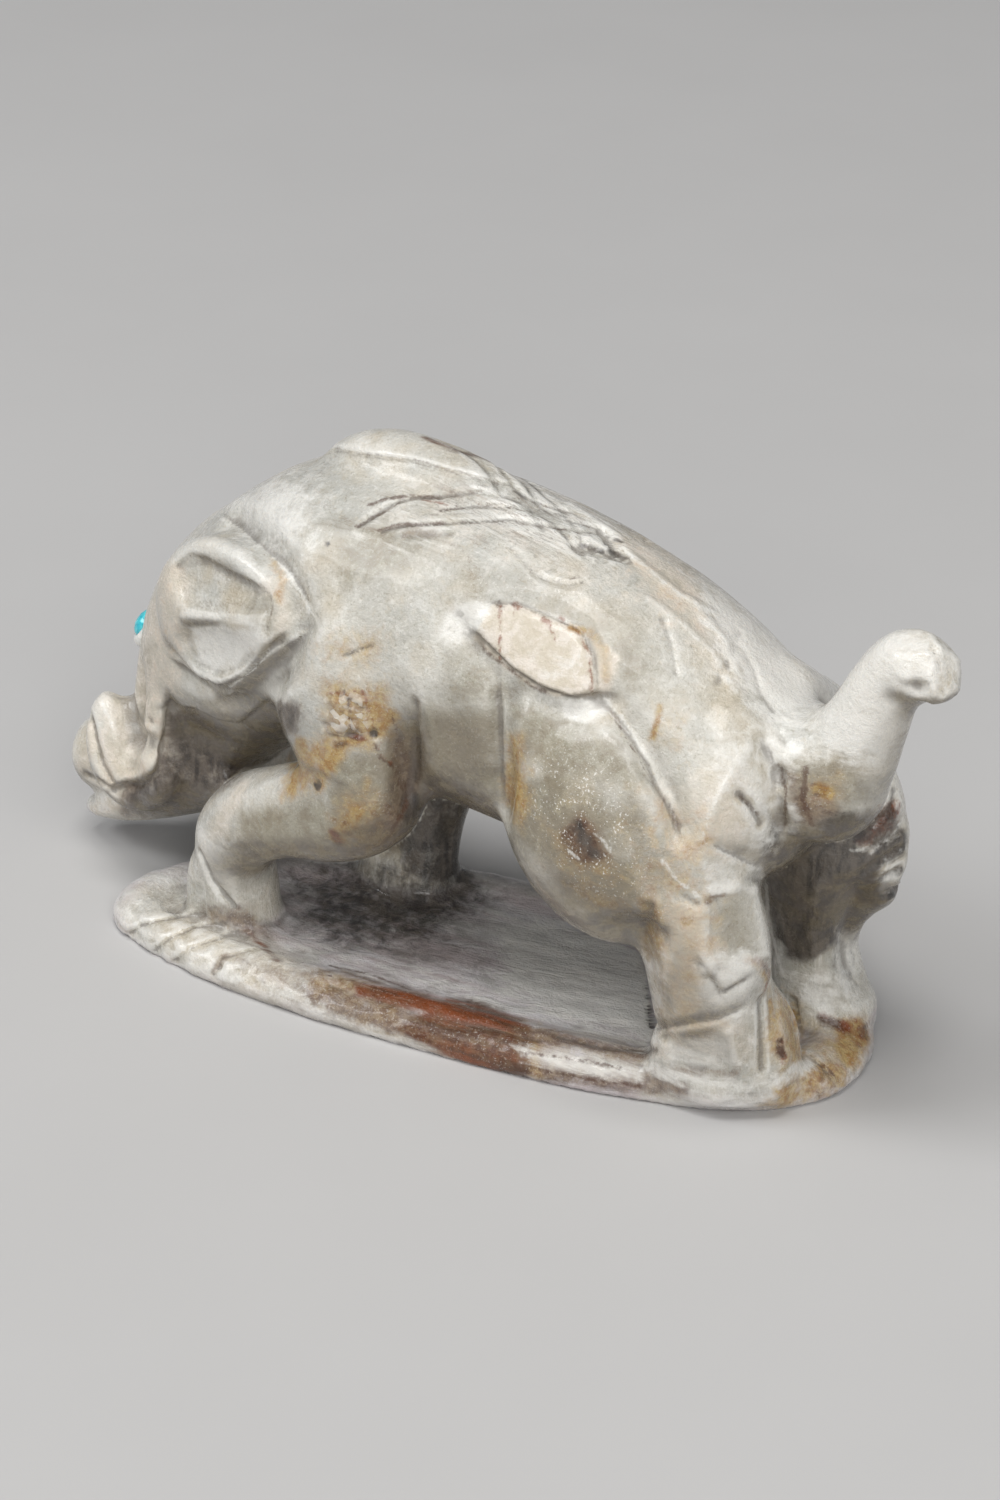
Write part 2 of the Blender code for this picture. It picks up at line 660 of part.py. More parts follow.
def add_eye(hog, name, side, surface):
    """Drill the socket and set the inlay in it, clear all round and below."""
    spot, outward = eye_seat(hog, side)
    socket_radius = EYE_DIAMETER / 2 + EYE_CLEARANCE
    drill = peg(name + "_drill", spot, outward, socket_radius, -SOCKET_DEPTH, EYE_DIAMETER, 0)
    drill.hide_render = True
    drill.display_type = "WIRE"
    cut = hog.modifiers.new(name + "_socket", "BOOLEAN")
    cut.object = drill
    inlay = peg(name, spot, outward, EYE_DIAMETER / 2, EYE_CLEARANCE - SOCKET_DEPTH, 0, EYE_STAND_OUT)
    finish(inlay, surface)


def material(name, colour, roughness):
    made = bpy.data.materials.new(name)
    made.use_nodes = True
    shader = made.node_tree.nodes["Principled BSDF"]
    shader.inputs["Base Color"].default_value = (*colour, 1)
    shader.inputs["Roughness"].default_value = roughness
    shader.inputs["Metallic"].default_value = 0
    return made


def finish(thing, surface):
    thing.data.materials.clear()
    thing.data.materials.append(surface)
    thing.data.shade_smooth()
    thing.data.set_sharp_from_angle(angle=math.radians(SHARP_ANGLE))


def main():
    clear_scene()
    mesh = thin_out(carved_mesh(), CARVING_TRIANGLES)
    cut_flat(mesh)
    hog = bpy.data.objects.new("hog_carving", mesh)
    bpy.context.collection.objects.link(hog)
    finish(hog, material("stone", (0.60, 0.57, 0.50), 0.3))
    turquoise = material("turquoise", (0.10, 0.55, 0.62), 0.3)
    add_eye(hog, "eye_left", -1, turquoise)
    add_eye(hog, "eye_right", 1, turquoise)


main()
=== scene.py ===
"""The carved hog dressed for its portrait: fine relief, stains, polished stone, floor and light.

Lengths are in millimetres while the stone is carved and in metres in the scene. The hog faces -X.
Places on its left side are pixels "x,y" of the 1000 x 1500 photograph, found on the stone by looking
through the scene's own camera. What is mirrored is repeated on its right side.
"""
import json
import math
import re

import bmesh
import bpy
import numpy as np
from mathutils import Matrix, Vector, noise
from mathutils.bvhtree import BVHTree

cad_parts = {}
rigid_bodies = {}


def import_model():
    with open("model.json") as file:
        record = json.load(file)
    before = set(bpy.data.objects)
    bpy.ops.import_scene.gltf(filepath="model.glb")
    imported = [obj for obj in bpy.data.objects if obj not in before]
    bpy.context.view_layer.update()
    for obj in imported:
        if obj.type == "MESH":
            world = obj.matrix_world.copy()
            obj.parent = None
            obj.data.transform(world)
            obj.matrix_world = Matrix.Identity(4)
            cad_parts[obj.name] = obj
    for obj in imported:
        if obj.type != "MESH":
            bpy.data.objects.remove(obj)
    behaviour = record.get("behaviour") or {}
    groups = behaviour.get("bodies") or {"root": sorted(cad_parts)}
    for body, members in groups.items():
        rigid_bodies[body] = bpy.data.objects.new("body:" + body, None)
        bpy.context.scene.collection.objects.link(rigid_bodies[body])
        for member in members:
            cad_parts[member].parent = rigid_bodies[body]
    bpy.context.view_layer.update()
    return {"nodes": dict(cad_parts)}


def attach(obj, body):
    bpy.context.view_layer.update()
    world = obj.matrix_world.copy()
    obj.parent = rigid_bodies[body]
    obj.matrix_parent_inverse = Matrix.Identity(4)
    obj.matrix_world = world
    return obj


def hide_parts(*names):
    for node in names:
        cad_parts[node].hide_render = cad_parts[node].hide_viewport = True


for item in list(bpy.data.objects):
    bpy.data.objects.remove(item, do_unlink=True)
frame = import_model()

# Camera, in degrees, pixels and millimetres
AZIMUTH = 34.0
ELEVATION = 28.0
FIELD = 15.0
IMAGE = (1000, 1500)
CAMERA = np.array((134.94, -199.64, 147.44))
FOCAL = IMAGE[0] / 2 / math.tan(math.radians(FIELD / 2))

azimuth, elevation = math.radians(AZIMUTH), math.radians(ELEVATION)
RIGHT = np.array((math.cos(azimuth), math.sin(azimuth), 0))
BACK = np.array((math.sin(azimuth) * math.cos(elevation), -math.cos(azimuth) * math.cos(elevation),
                 math.sin(elevation)))
UP = np.cross(BACK, RIGHT)

# Fineness of the stone's skin
VOXEL = 0.28
POLISH_PASSES = 26
POLISH = 0.5
WELD = 1e-6  # metres
TRIANGLES = 194000

# Looking at the skin and drawing on it
MIRROR = np.array((1, -1, 1))
JUST_SEEN = 0.02  # how much a vertex faces the camera before it counts as seen
WELL_SEEN = 0.15  # and when it counts in full
LIFT = 0.08  # where a vertex's line of sight starts, above the skin
LINE_STEP = 4  # pixels between the points of a line
LINE_GAP = 1.6  # a longer step between two points breaks the line
TINY = 1e-9  # square of a step that is too short to have a direction
LEDGE_EDGE = 0.35
LEDGE_FADE = 1.5
FACET_SOFT = 5  # pixels
FACET_CORE = 0.6  # share from which a vertex helps to place the facet's plane
SOFTENING = 0.7  # how far each round of softening moves a vertex to its neighbours' mean
SOFT_FADE = 1.4  # softening is whole in the middle and fades over the outer part
SEED_SHIFT = np.array((7.3, 3.1, 5.7))
# a table's row: the name of a mask or nothing, pixels, numbers
ROW = re.compile(r"([a-z]*)((?:\s+\d+,\d+)+)((?:\s+-?\d[\d.]*(?![\d.,]))+)")


# Picture geometry

def to_pixels(spots):
    """Where points appear in the photograph."""
    seen = spots - CAMERA
    depth = -(seen @ BACK)
    return np.stack([IMAGE[0] / 2 + FOCAL * (seen @ RIGHT) / depth,
                     IMAGE[1] / 2 - FOCAL * (seen @ UP) / depth], axis=1)


def look(tree, x, y):
    """The first point of the stone behind a pixel."""
    ray = RIGHT * (x - IMAGE[0] / 2) / FOCAL - UP * (y - IMAGE[1] / 2) / FOCAL - BACK
    return tree.ray_cast(Vector(CAMERA), Vector(ray).normalized())[0]


def rows(text):
    """A table's rows, each with its name, path and numbers; a line that names a place is a heading."""
    return [(name, [tuple(map(float, pixel.split(","))) for pixel in path.split()],
             *map(json.loads, numbers.split())) for name, path, numbers in ROW.findall(text)]


def smooth(share):
    share = np.clip(share, 0, 1)
    return share * share * (3 - 2 * share)


def noise_at(spots, scale, seed):
    """Smooth noise between -1 and 1 with features of about the given size."""
    shift = Vector(SEED_SHIFT * seed)
    return np.array([noise.noise(Vector(p) + shift) for p in spots / scale])


def vertex_spots(mesh):
    """A mesh's vertices in millimetres."""
    flat = np.empty(len(mesh.vertices) * 3)
    mesh.vertices.foreach_get("co", flat)
    return flat.reshape(-1, 3) * 1000


def edge_ends(mesh):
    ends = np.empty(len(mesh.edges) * 2, int)
    mesh.edges.foreach_get("vertices", ends)
    return ends.reshape(-1, 2)


def averager(ends, total):
    """A call that gives each vertex the mean of its neighbours along the given edges."""
    first, second = ends.T
    count = np.bincount(ends.ravel(), minlength=total).clip(1)[:, None]

    def mean(spots):
        sums = [np.bincount(first, spots[second, k], total) + np.bincount(second, spots[first, k], total)
                for k in range(3)]
        return np.stack(sums, axis=1) / count
    return mean


# The skin

class Skin:
    """A mesh in millimetres, with the tools that carve and paint it."""

    def __init__(self, mesh):
        self.mesh = mesh
        self.spots = vertex_spots(mesh)
        self.store()
        self.view()

    def store(self):
        self.mesh.vertices.foreach_set("co", (self.spots / 1000).ravel())
        self.mesh.update()
        flat = np.empty(len(self.spots) * 3)
        self.mesh.vertex_normals.foreach_get("vector", flat)
        self.normals = flat.reshape(-1, 3)

    def view(self):
        """What the camera sees of the skin as it is now."""
        faces = [tuple(face.vertices) for face in self.mesh.polygons]
        self.tree = BVHTree.FromPolygons([Vector(p) for p in self.spots], faces)
        self.pixels = to_pixels(self.spots)
        towards = CAMERA - self.spots
        towards /= np.linalg.norm(towards, axis=1)[:, None]
        facing = (self.normals * towards).sum(axis=1)
        seen = facing > JUST_SEEN
        starts = self.spots + self.normals * LIFT
        for i in np.nonzero(seen)[0]:
            if self.tree.ray_cast(Vector(starts[i]), Vector(towards[i]))[0] is not None:
                seen[i] = False
        self.seen = seen * np.clip(facing / WELL_SEEN, 0, 1)

    def line(self, path):
        """Pixels joined by straight runs in the picture, laid on the stone."""
        runs, run = [], []
        for start, end in zip(path, path[1:]):
            count = max(1, int(math.dist(start, end) / LINE_STEP))
            for k in range(count + (end is path[-1])):
                t = min(k / count, 1)
                x, y = (a + (b - a) * t for a, b in zip(start, end))
                spot = look(self.tree, x, y)
                if spot is None or (run and (spot - run[-1]).length > LINE_GAP):
                    runs.append(run)
                    run = []
                if spot is not None:
                    run.append(spot)
        runs.append(run)
        return [np.array(r) for r in runs if len(r) > 1]

    def nearest(self, spot):
        return np.array(self.tree.find_nearest(Vector(spot))[0])

    def across(self, runs):
        """The same runs on the other side of the hog."""
        return [np.array([self.nearest(spot * MIRROR) for spot in run]) for run in runs]

    def distance(self, runs, reach):
        """Distance of each vertex from the runs, and on which side of them it lies (right is positive)."""
        best = np.full(len(self.spots), np.inf)
        side = np.zeros(len(self.spots))
        for run in runs:
            low, high = run.min(axis=0) - reach, run.max(axis=0) + reach
            near = np.nonzero(((self.spots > low) & (self.spots < high)).all(axis=1))[0]
            spots, normals = self.spots[near], self.normals[near]
            for start, end in zip(run, run[1:]):
                step = end - start
                size = step @ step
                if size < TINY:
                    continue
                share = np.clip((spots - start) @ step / size, 0, 1)
                offset = spots - (start + share[:, None] * step)
                gap = np.linalg.norm(offset, axis=1)
                closer = gap < best[near]
                where = near[closer]
                best[where] = gap[closer]
                lateral = np.cross(step / math.sqrt(size), normals[closer])
                side[where] = (offset[closer] * lateral).sum(axis=1)
        return best, side

    def inside(self, outline, soft):
        """Share of each seen vertex inside an outline drawn in the picture, fading over soft pixels."""
        corners = np.array(outline)
        low, high = corners.min(axis=0) - soft, corners.max(axis=0) + soft
        near = np.nonzero(((self.pixels > low) & (self.pixels < high)).all(axis=1) & (self.seen > 0))[0]
        spots = self.pixels[near]
        within = np.zeros(len(near), bool)
        gap = np.full(len(near), np.inf)
        for start, end in zip(corners, np.roll(corners, -1, axis=0)):
            step = end - start
            share = np.clip((spots - start) @ step / (step @ step), 0, 1)
            gap = np.minimum(gap, np.linalg.norm(spots - start - share[:, None] * step, axis=1))
            crosses = (start[1] > spots[:, 1]) != (end[1] > spots[:, 1])
            cut = start[0] + (spots[:, 1] - start[1]) / (step[1] or 1) * step[0]
            within ^= crosses & (spots[:, 0] < cut)
        signed = np.where(within, gap, -gap)
        out = np.zeros(len(self.spots))
        out[near] = smooth(signed / soft * 0.5 + 0.5) * self.seen[near]
        return out

    def push(self, depth):
        self.spots -= self.normals * depth[:, None]
        self.store()

    def groove(self, path, width, depth, mirrored):
        runs = self.line(path)
        if mirrored:
            runs = runs + self.across(runs)
        gap = self.distance(runs, width)[0]
        self.push(smooth(1 - gap / width) * depth)

    def ledge(self, path, width, depth, mirrored):
        """Sink the side to the right of the path, from a crisp edge out to nothing."""
        runs = self.line(path)
        for lines, sign in ((runs, 1), (self.across(runs), -1))[:1 + mirrored]:
            gap, side = self.distance(lines, width)
            crisp = smooth(sign * side / LEDGE_EDGE + 0.5)
            self.push(np.clip(1 - gap / width, 0, 1) ** LEDGE_FADE * crisp * depth)

    def bowl(self, path, radius, depth, mirrored):
        spot = np.array(look(self.tree, *path[0]))
        for place in (spot, self.nearest(spot * MIRROR))[:1 + mirrored]:
            gap = np.linalg.norm(self.spots - place, axis=1)
            self.push(smooth(1 - gap / radius) * depth)

    def facet(self, outline, strength, sink):
        """Flatten the stone inside an outline onto the plane that fits it best."""
        share = self.inside(outline, FACET_SOFT)
        core = share > FACET_CORE
        middle = self.spots[core].mean(axis=0)
        normal = np.linalg.svd(self.spots[core] - middle, full_matrices=False)[2][2]
        if normal @ self.normals[core].mean(axis=0) < 0:
            normal = -normal
        offset = (self.spots - middle) @ normal + sink
        self.spots -= normal * (offset * share * strength)[:, None]
        self.store()

    def soften(self, path, radius, rounds, mirrored):
        """Rounds of averaging with the neighbours about a point of the surface, fading out to the radius."""
        spot = np.array(look(self.tree, *path[0]))
        ends = edge_ends(self.mesh)
        for place in (spot, spot * MIRROR)[:1 + mirrored]:
            share = smooth(SOFT_FADE - SOFT_FADE * np.linalg.norm(self.spots - place, axis=1) / radius)
            inner = share > 0
            mean = averager(ends[inner[ends].any(axis=1)], len(share))
            for _ in range(rounds):
                change = mean(self.spots)[inner] - self.spots[inner]
                self.spots[inner] += change * SOFTENING * share[inner, None]
            self.store()


def welded_stone():
    """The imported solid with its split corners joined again."""
    bm = bmesh.new()
    bm.from_mesh(frame["nodes"]["hog_carving"].data)
    bmesh.ops.remove_doubles(bm, verts=bm.verts, dist=WELD)
    mesh = bpy.data.meshes.new("stone")
    bm.to_mesh(mesh)
    bm.free()
    return mesh


def placed(name, data):
    """A new object in the scene."""
    thing = bpy.data.objects.new(name, data)
    bpy.context.scene.collection.objects.link(thing)
    return thing


def applied(thing, *modifiers):
    """The mesh of an object after a stack of (type, settings) modifiers; the object is removed."""
    for kind, settings in modifiers:
        modifier = thing.modifiers.new(kind, kind)
        for key, value in settings.items():
            setattr(modifier, key, value)
    graph = bpy.context.evaluated_depsgraph_get()
    made = bpy.data.meshes.new_from_object(thing.evaluated_get(graph))
    bpy.data.objects.remove(thing, do_unlink=True)
    return made


def fine_skin():
    return Skin(applied(
        placed("solid", welded_stone()),
        ("REMESH", {"mode": "VOXEL", "voxel_size": VOXEL / 1000}),
        ("SMOOTH", {"factor": POLISH, "iterations": POLISH_PASSES})))


# Relief, by pixels of the photograph

# flat places: outline, strength, how far they sink
FACETS = rows("""
  178,566 205,560 240,580 264,594 266,612 235,613 200,613 182,600  0.6 -0.1
  186,624 264,622 266,642 244,664 222,676 198,667  0.8 -0.3
  641,905 662,900 668,1020 656,1026  0.8 0
  669,897 704,908 704,985 698,1016 673,1022  0.5 0
  714,905 755,885 768,955 742,972 713,964  0.6 0
  700,862 720,852 750,852 755,868 730,888 706,890  0.4 0
  661,1040 732,1028 741,1064 700,1074 665,1064  0.7 0
  741,1020 757,1008 760,1066 749,1069  0.8 0
  774,994 797,998 804,1058 779,1068  0.6 0
  890,650 905,636 920,630 932,636 936,648 915,654 896,660  0.8 0
  888,662 915,656 935,652 938,670 930,680 905,682  0.7 0
  936,644 958,660 957,690 940,700 932,690 942,668  0.95 0.05
  250,790 300,765 378,800 378,828 290,840 230,845  0.25 0
  222,692 268,657 290,632 306,630 284,662 250,692  0.6 0
  203,865 213,884 226,902 196,893 194,880  0.7 0
  495,640 520,612 570,632 588,660 588,685 550,690 515,665  0.4 -0.05
  878,852 900,850 900,880 884,892  0.8 0
  775,755 788,766 790,800 772,790  0.6 0
""")

# path, width, depth, mirrored: the side to the right of the path sinks
LEDGES = rows("""
  176,563 190,553 205,557 225,569 245,579 265,590 273,598 272,612 270,624  1.6 0.18 1
  183,667 200,679 220,687 239,676 258,659 273,642  1.9 0.5 1
  314,616 300,590 285,567 265,550 245,532 222,515  1.4 0.14 1
  502,700 503,735 505,775  2.6 0.3 1
  335,448 370,455 415,460 460,472 510,482 535,502 560,515 610,530 630,556  1.7 0.2 1
  482,640 510,668 540,687 570,697 594,694  2.2 0.45 1
  596,690 592,657 580,632 550,617 520,606 495,604  1.2 0.16 1
  600,697 618,715 632,735 650,765 667,800 680,830  1.4 0.18 1
  737,1014 720,1021 690,1026 657,1031  1.2 0.22 0
  706,966 722,993 743,981  1.2 0.22 0
  114,788 124,782 140,781 152,774 160,758 164,735 165,708  2.4 0.75 1
  172,707 194,709 216,720 238,724 262,704  2.4 0.3 1
  122,936 140,923 165,917 195,912  1.3 0.26 0
  150,953 165,938 190,926 218,922  1.3 0.26 0
  168,963 190,946 228,933  1.2 0.22 0
  212,972 221,956 252,948  1.1 0.18 0
  812,1056 838,1078  0.9 0.2 0
  931,638 937,650 942,668 932,682 929,698  1.8 0.16 0
  754,868 738,860 718,851  1.3 0.2 0
  905,832 893,838 870,852  0.9 0.3 0
  902,860 888,868 872,884  0.8 0.3 0
""")

# path, width, depth, mirrored: a negative depth raises a ridge
GROOVES = rows("""
  185,617 225,615 265,619  0.8 -0.16 1
  89,716 95,742 101,764 112,786  0.7 0.4 1
  119,688 127,704 132,722 138,738 147,746  1.7 0.55 1
  224,704 250,696 275,671 297,647 311,625  1.5 0.3 1
  88,777 100,783 110,792  0.7 0.4 1
  200,853 212,880 234,906  0.5 0.25 0
  414,704 417,735 415,765 410,795  0.7 0.2 1
  770,742 785,760 790,785 792,830  0.8 -0.22 0
  858,905 856,925 857,945 862,960  3.4 1.5 0
  740,795 750,805 762,824  0.7 0.3 0
  748,748 736,766 722,790 711,812 702,838  0.8 -0.09 0
  707,905 706,950 708,972  0.8 -0.25 0
  360,525 382,510 396,502 415,497 440,497  0.45 0.16 1
  440,510 470,507 510,507 545,510  0.4 0.12 1
  382,531 407,525 432,524 470,522 510,519 545,525 582,530 615,534  0.4 0.14 1
  440,497 480,492 510,497 545,505 570,512  0.4 0.12 1
  393,536 450,534  0.6 0.12 1
  577,546 600,549 622,556  0.7 0.3 1
  510,547 532,570 545,580 570,585 583,582  0.35 0.08 1
  636,765 652,782 668,803 678,826  0.5 0.1 1
  740,632 730,660 717,682  0.6 0.1 0
  742,647 755,670 760,692 772,710  0.6 0.1 0
  662,620 670,642 675,672  0.6 0.1 0
  622,547 650,570 680,595 712,612  0.7 -0.12 0
  570,505 592,518 616,535  0.8 -0.14 0
  650,600 680,622 712,652 735,690  0.7 -0.12 0
  690,600 725,640 740,680  0.7 -0.12 0
  761,1000 762,1025 762,1070  0.5 0.25 0
  662,862 676,880 698,898  0.6 -0.08 0
  704,896 714,892 740,886 752,888  0.7 -0.1 0
  866,872 880,862 900,850  0.7 0.35 0
  870,886 886,878 900,870  0.6 0.3 0
  868,904 886,898 898,888  0.7 0.35 0
  345,655 357,651 372,645  0.4 0.12 1
  895,800 886,812 872,826  0.5 0.2 0
  560,1036 600,1046 655,1050  0.6 0.2 0
  430,1012 480,1026 540,1040  0.5 0.12 0
  330,985 400,1008 470,1030  0.5 0.12 0
""")

# hollows: centre, radius, depth, mirrored
BOWLS = rows("""
  150,722  0.6 0.2 1
  917,688  1.1 0.3 0
  374,734  0.5 0.35 0
  316,785  0.5 0.35 0
  783,775  1.2 0.3 0
  218,966  0.6 0.25 0
""")

# where the solid has a crease that the stone lacks: centre, radius, rounds of smoothing, mirrored
SOFTENED = rows("""
  388,690  3.6 160 1
  302,650  3.2 50 1
  684,882  4 140 0
  784,985  2.8 60 0
""")

# rough, crystalline spots: outline, depth of their small faces
CRYSTALS = rows("""
  325,700 345,685 366,700 367,735 342,747 322,732  0.25
  440,634 455,607 480,600 487,615 470,636 448,642  0.07
  560,822 590,812 602,835 594,860 565,862 555,845  0.1
  577,545 600,539 628,545 632,562 605,564 580,556  0.25
  930,640 960,655 960,695 932,702 925,680  0.2
""")
CRYSTAL_SIZE = 0.9
CRYSTAL_SOFT = 6  # pixels
TILT_SCALE, STEP_SCALE, STEP = 3.7, 2.3, 0.5  # how the crystals' small faces vary
TILT_SEED = 1795800492  # settles which way each face tilts

UNDULATION = ((5.0, 0.07, 1), (1.9, 0.03, 2))  # size, depth, seed
# chips along the plinth's rim, longer than they are high
RIM_LOW, RIM_LOW_FADE, RIM_HIGH, RIM_HIGH_FADE = 0.1, 0.5, 3.0, 0.8
CHIP_STRETCH = (0.6, 0.6, 1.6)
CHIP_SIZE, CHIP_SEED, CHIP_RISE, CHIP_DEPTH = 0.9, 9, -0.2, 0.14
FLAT_REACH = 0.12  # skin this close to the ground is the flat underside


def cut_faces(skin, depth):
    """Small flat faces, each tilted its own way, as where crystals show in the stone."""
    out = np.zeros(len(skin.spots))
    for i, spot in enumerate(skin.spots / CRYSTAL_SIZE):
        centre = noise.voronoi(Vector(spot))[1][0]
        tilt = noise.noise_vector(centre * TILT_SCALE)
        out[i] = (Vector(spot) - centre).dot(tilt) + noise.noise(centre * STEP_SCALE) * STEP
    return out * depth


def carve(skin):
    for cut, table in ((skin.soften, SOFTENED), (skin.facet, FACETS), (skin.ledge, LEDGES),
                       (skin.groove, GROOVES), (skin.bowl, BOWLS)):
        for _, *row in table:
            cut(*row)
    noise.seed_set(TILT_SEED)
    for _, outline, depth in CRYSTALS:
        skin.push(skin.inside(outline, CRYSTAL_SOFT) * cut_faces(skin, depth))
    for size, depth, seed in UNDULATION:
        skin.push(noise_at(skin.spots, size, seed) * depth)
    height = skin.spots[:, 2]
    rim = smooth((height - RIM_LOW) / RIM_LOW_FADE) * smooth((RIM_HIGH - height) / RIM_HIGH_FADE)
    chips = noise_at(skin.spots * CHIP_STRETCH, CHIP_SIZE, CHIP_SEED)
    skin.push(rim * np.clip(chips, CHIP_RISE, 1) * CHIP_DEPTH)


def flatten_underside(skin, flat):
    skin.spots[flat, 2] = 0
    skin.spots[:, 2] = np.maximum(skin.spots[:, 2], 0)
    skin.store()


# Eyes

SOCKET_REACH = 1.3  # skin this close to the eye's axis is the socket's floor
SOCKET_DEEP = 2.5  # and this close to its seat along the axis
SOCKET_FLOOR = -1.0
DOME_HEIGHT = 0.7
# radius and height of the pale bed of glue that each eye sits in
BED = ((1.17, -0.85), (1.17, 0.04), (1.28, 0.12), (1.48, 0.08), (1.68, -0.12), (1.8, -0.5), (1.7, -1.0))
BED_SIDES = 40


def eye_axes():
    """Seat and outward direction of each inlay."""
    out = []
    for name in ("eye_left", "eye_right"):
        spots = np.unique(vertex_spots(frame["nodes"][name].data).round(4), axis=0)
        middle = spots.mean(axis=0)
        outward = np.linalg.svd(spots - middle, full_matrices=False)[2][2]
        if outward[2] < 0:
            outward = -outward
        top = ((spots - middle) @ outward).max()
        out.append((middle + outward * (top - DOME_HEIGHT), outward))
    return out


def open_sockets(skin, axes):
    for seat, outward in axes:
        offset = skin.spots - seat
        height = offset @ outward
        radial = np.linalg.norm(offset - height[:, None] * outward, axis=1)
        floor = (radial < SOCKET_REACH) & (np.abs(height) < SOCKET_DEEP)
        skin.spots[floor] += outward * (SOCKET_FLOOR - height[floor])[:, None]
    skin.store()


def add_beds(mesh, axes):
    """Rings of glue joined to the stone's mesh; returns how many vertices they have."""
    bm = bmesh.new()
    bm.from_mesh(mesh)
    before = len(bm.verts)
    for seat, outward in axes:
        turn = Vector(outward).to_track_quat("Z", "Y").to_matrix()
        rings = []
        for k in range(BED_SIDES):
            angle = 2 * math.pi * k / BED_SIDES
            around = ((radius * math.cos(angle), radius * math.sin(angle), height) for radius, height in BED)
            rings.append([bm.verts.new((Vector(seat) + turn @ Vector(spot)) / 1000) for spot in around])
        for ring, following in zip(rings, rings[1:] + rings[:1]):
            for i in range(len(BED)):
                j = (i + 1) % len(BED)
                bm.faces.new((ring[i], following[i], following[j], ring[j]))
    bm.to_mesh(mesh)
    added = len(bm.verts) - before
    bm.free()
    return added


# strokes on the left side alone: mask, path, reach in millimetres, strength
# Some strokes paint light and shade rather than marks: the short pale ones on the hock and below the tail
# are painted glints, the pale lines along edges are partly wear and partly painted highlight, and the dark
# line down the crease between elbow and belly is painted shade
STROKES = rows("""
neck and shoulder:
  ochre 392,716 378,730 358,737 340,744 331,758 322,771 317,784  1.5 1
  rust 352,735 361,737  0.7 1
  umber 337,745 341,743  0.7 0.9
  soot 373,734 375,735  0.5 1.3
  soot 327,544 328,545  0.4 0.9
  soot 303,514 305,516  0.35 0.6
  crack 347,698 350,715 351,732  0.52 0.9
  crack 372,738 380,758 393,766 400,788  0.45 0.9
  crack 392,716 398,735 396,752  0.45 0.8
  vein 332,693 344,692  0.55 1
  vein 345,694 362,690 372,720 376,733  0.45 0.8
  vein 386,728 378,752 392,764  0.45 0.7
forelegs:
  ochre 302,745 299,764 292,788  1.5 1.1
  ochre 358,812 350,824 338,838  1.5 0.9
  ochre 368,780 363,800  0.8 0.5
  rust 335,836 338,842  0.9 1
  umber 270,850 310,848 350,850 374,846  0.9 0.6
  umber 217,908 228,916 240,908  0.8 0.8
  warm 240,790 215,830 205,850  2 0.5
  soot 316,785 318,787  0.55 1.3
  crack 400,742 410,770 406,805 390,836  0.6 1.1
  wear 200,853 212,880 234,906  0.47 1.1
back:
  rust 425,438 452,450 475,456 495,463 515,469  0.8 0.6
  crack 740,632 730,660 717,682  0.5 0.45
  crack 742,647 755,670 760,692 772,710  0.5 0.45
  crack 622,542 640,560 668,588 700,612 735,630  0.42 0.45
  wear 570,505 592,518 616,535  0.84 0.9
  wear 622,547 650,570 680,595 712,612  0.65 0.9
  wear 660,556 700,585 745,622 780,650  0.58 0.8
  wear 650,600 680,622 712,652 735,690  0.58 0.7
  wear 690,600 725,640 740,680  0.58 0.7
flank and belly:
  soot 418,702 423,730 420,762 414,800  1.3 0.45
  crack 662,620 670,642 675,672  0.5 0.45
haunch:
  ochre 660,706 657,722 653,738  0.55 0.8
  wear 662,860 676,879 698,896  0.45 0.9
hind legs:
  ochre 770,1002 771,1012  0.8 1
  ochre 795,1012 796,1026  0.9 1
  ochre 746,958 758,966 768,980  0.6 0.8
  rust 745,962 760,960 770,975 765,990  0.6 0.7
  rust 780,1042 782,1058  0.7 1
  rust 822,1018 835,1024 848,1028  0.8 1
  umber 836,1022 850,1035 866,1030  0.8 0.45
  umber 708,902 716,896 724,894  0.5 1
  pale 715,888 726,886  0.9 1.5
  pale 744,806 756,822  0.5 1.2
  soot 741,796 751,806 762,824  0.6 0.4
  soot 866,872 880,862 900,850  0.8 1.4
  soot 870,886 886,878 900,870  0.6 1.3
  soot 868,904 886,898 898,888  0.7 1.4
  soot 846,940 852,958 848,976  0.6 1.2
  crack 740,796 750,806 758,815  0.45 0.9
  wear 736,764 722,788 711,810 702,838  0.45 0.85
  wear 720,849 738,857 754,866  0.6 1.2
  wear 735,1014 738,1040 747,1066  0.5 0.7
  wear 758,862 766,885 768,915 777,955 783,975  0.5 1.1
  wear 898,792 905,812 896,832 874,848 852,851  0.55 0.9
tail:
  ochre 818,789 828,793  0.9 1.3
  pale 790,806 797,818 792,830  0.9 0.7
  pale 815,704 838,697  1.2 0.6
  soot 893,790 888,812 878,828  0.6 0.6
  crack 806,768 803,800 812,825  0.6 1.1
  crack 780,764 786,790 785,825  0.5 1
plinth:
  rust 246,932 262,945 277,960  0.8 0.7
  umber 214,972 224,957  0.6 0.7
  umber 297,975 340,970 390,987 440,1000 520,1020  1 0.7
  umber 560,1035 600,1045 655,1050  0.7 0.8
  pale 647,1064 680,1078 740,1086 790,1078 812,1064  1.2 0.7
  pale 790,1070 810,1064  0.9 1
  crack 430,1032 470,1046 510,1056  0.5 1
  crack 450,1048 490,1062 530,1072  0.5 1
  crack 330,966 370,974 410,990  0.5 1
  crack 320,974 360,982 400,996  0.45 0.9
  crack 520,1052 570,1058 620,1068  0.5 0.9
  crack 530,1068 580,1078 640,1086  0.5 0.9
  crack 811,1055 838,1079  0.58 0.9
""")
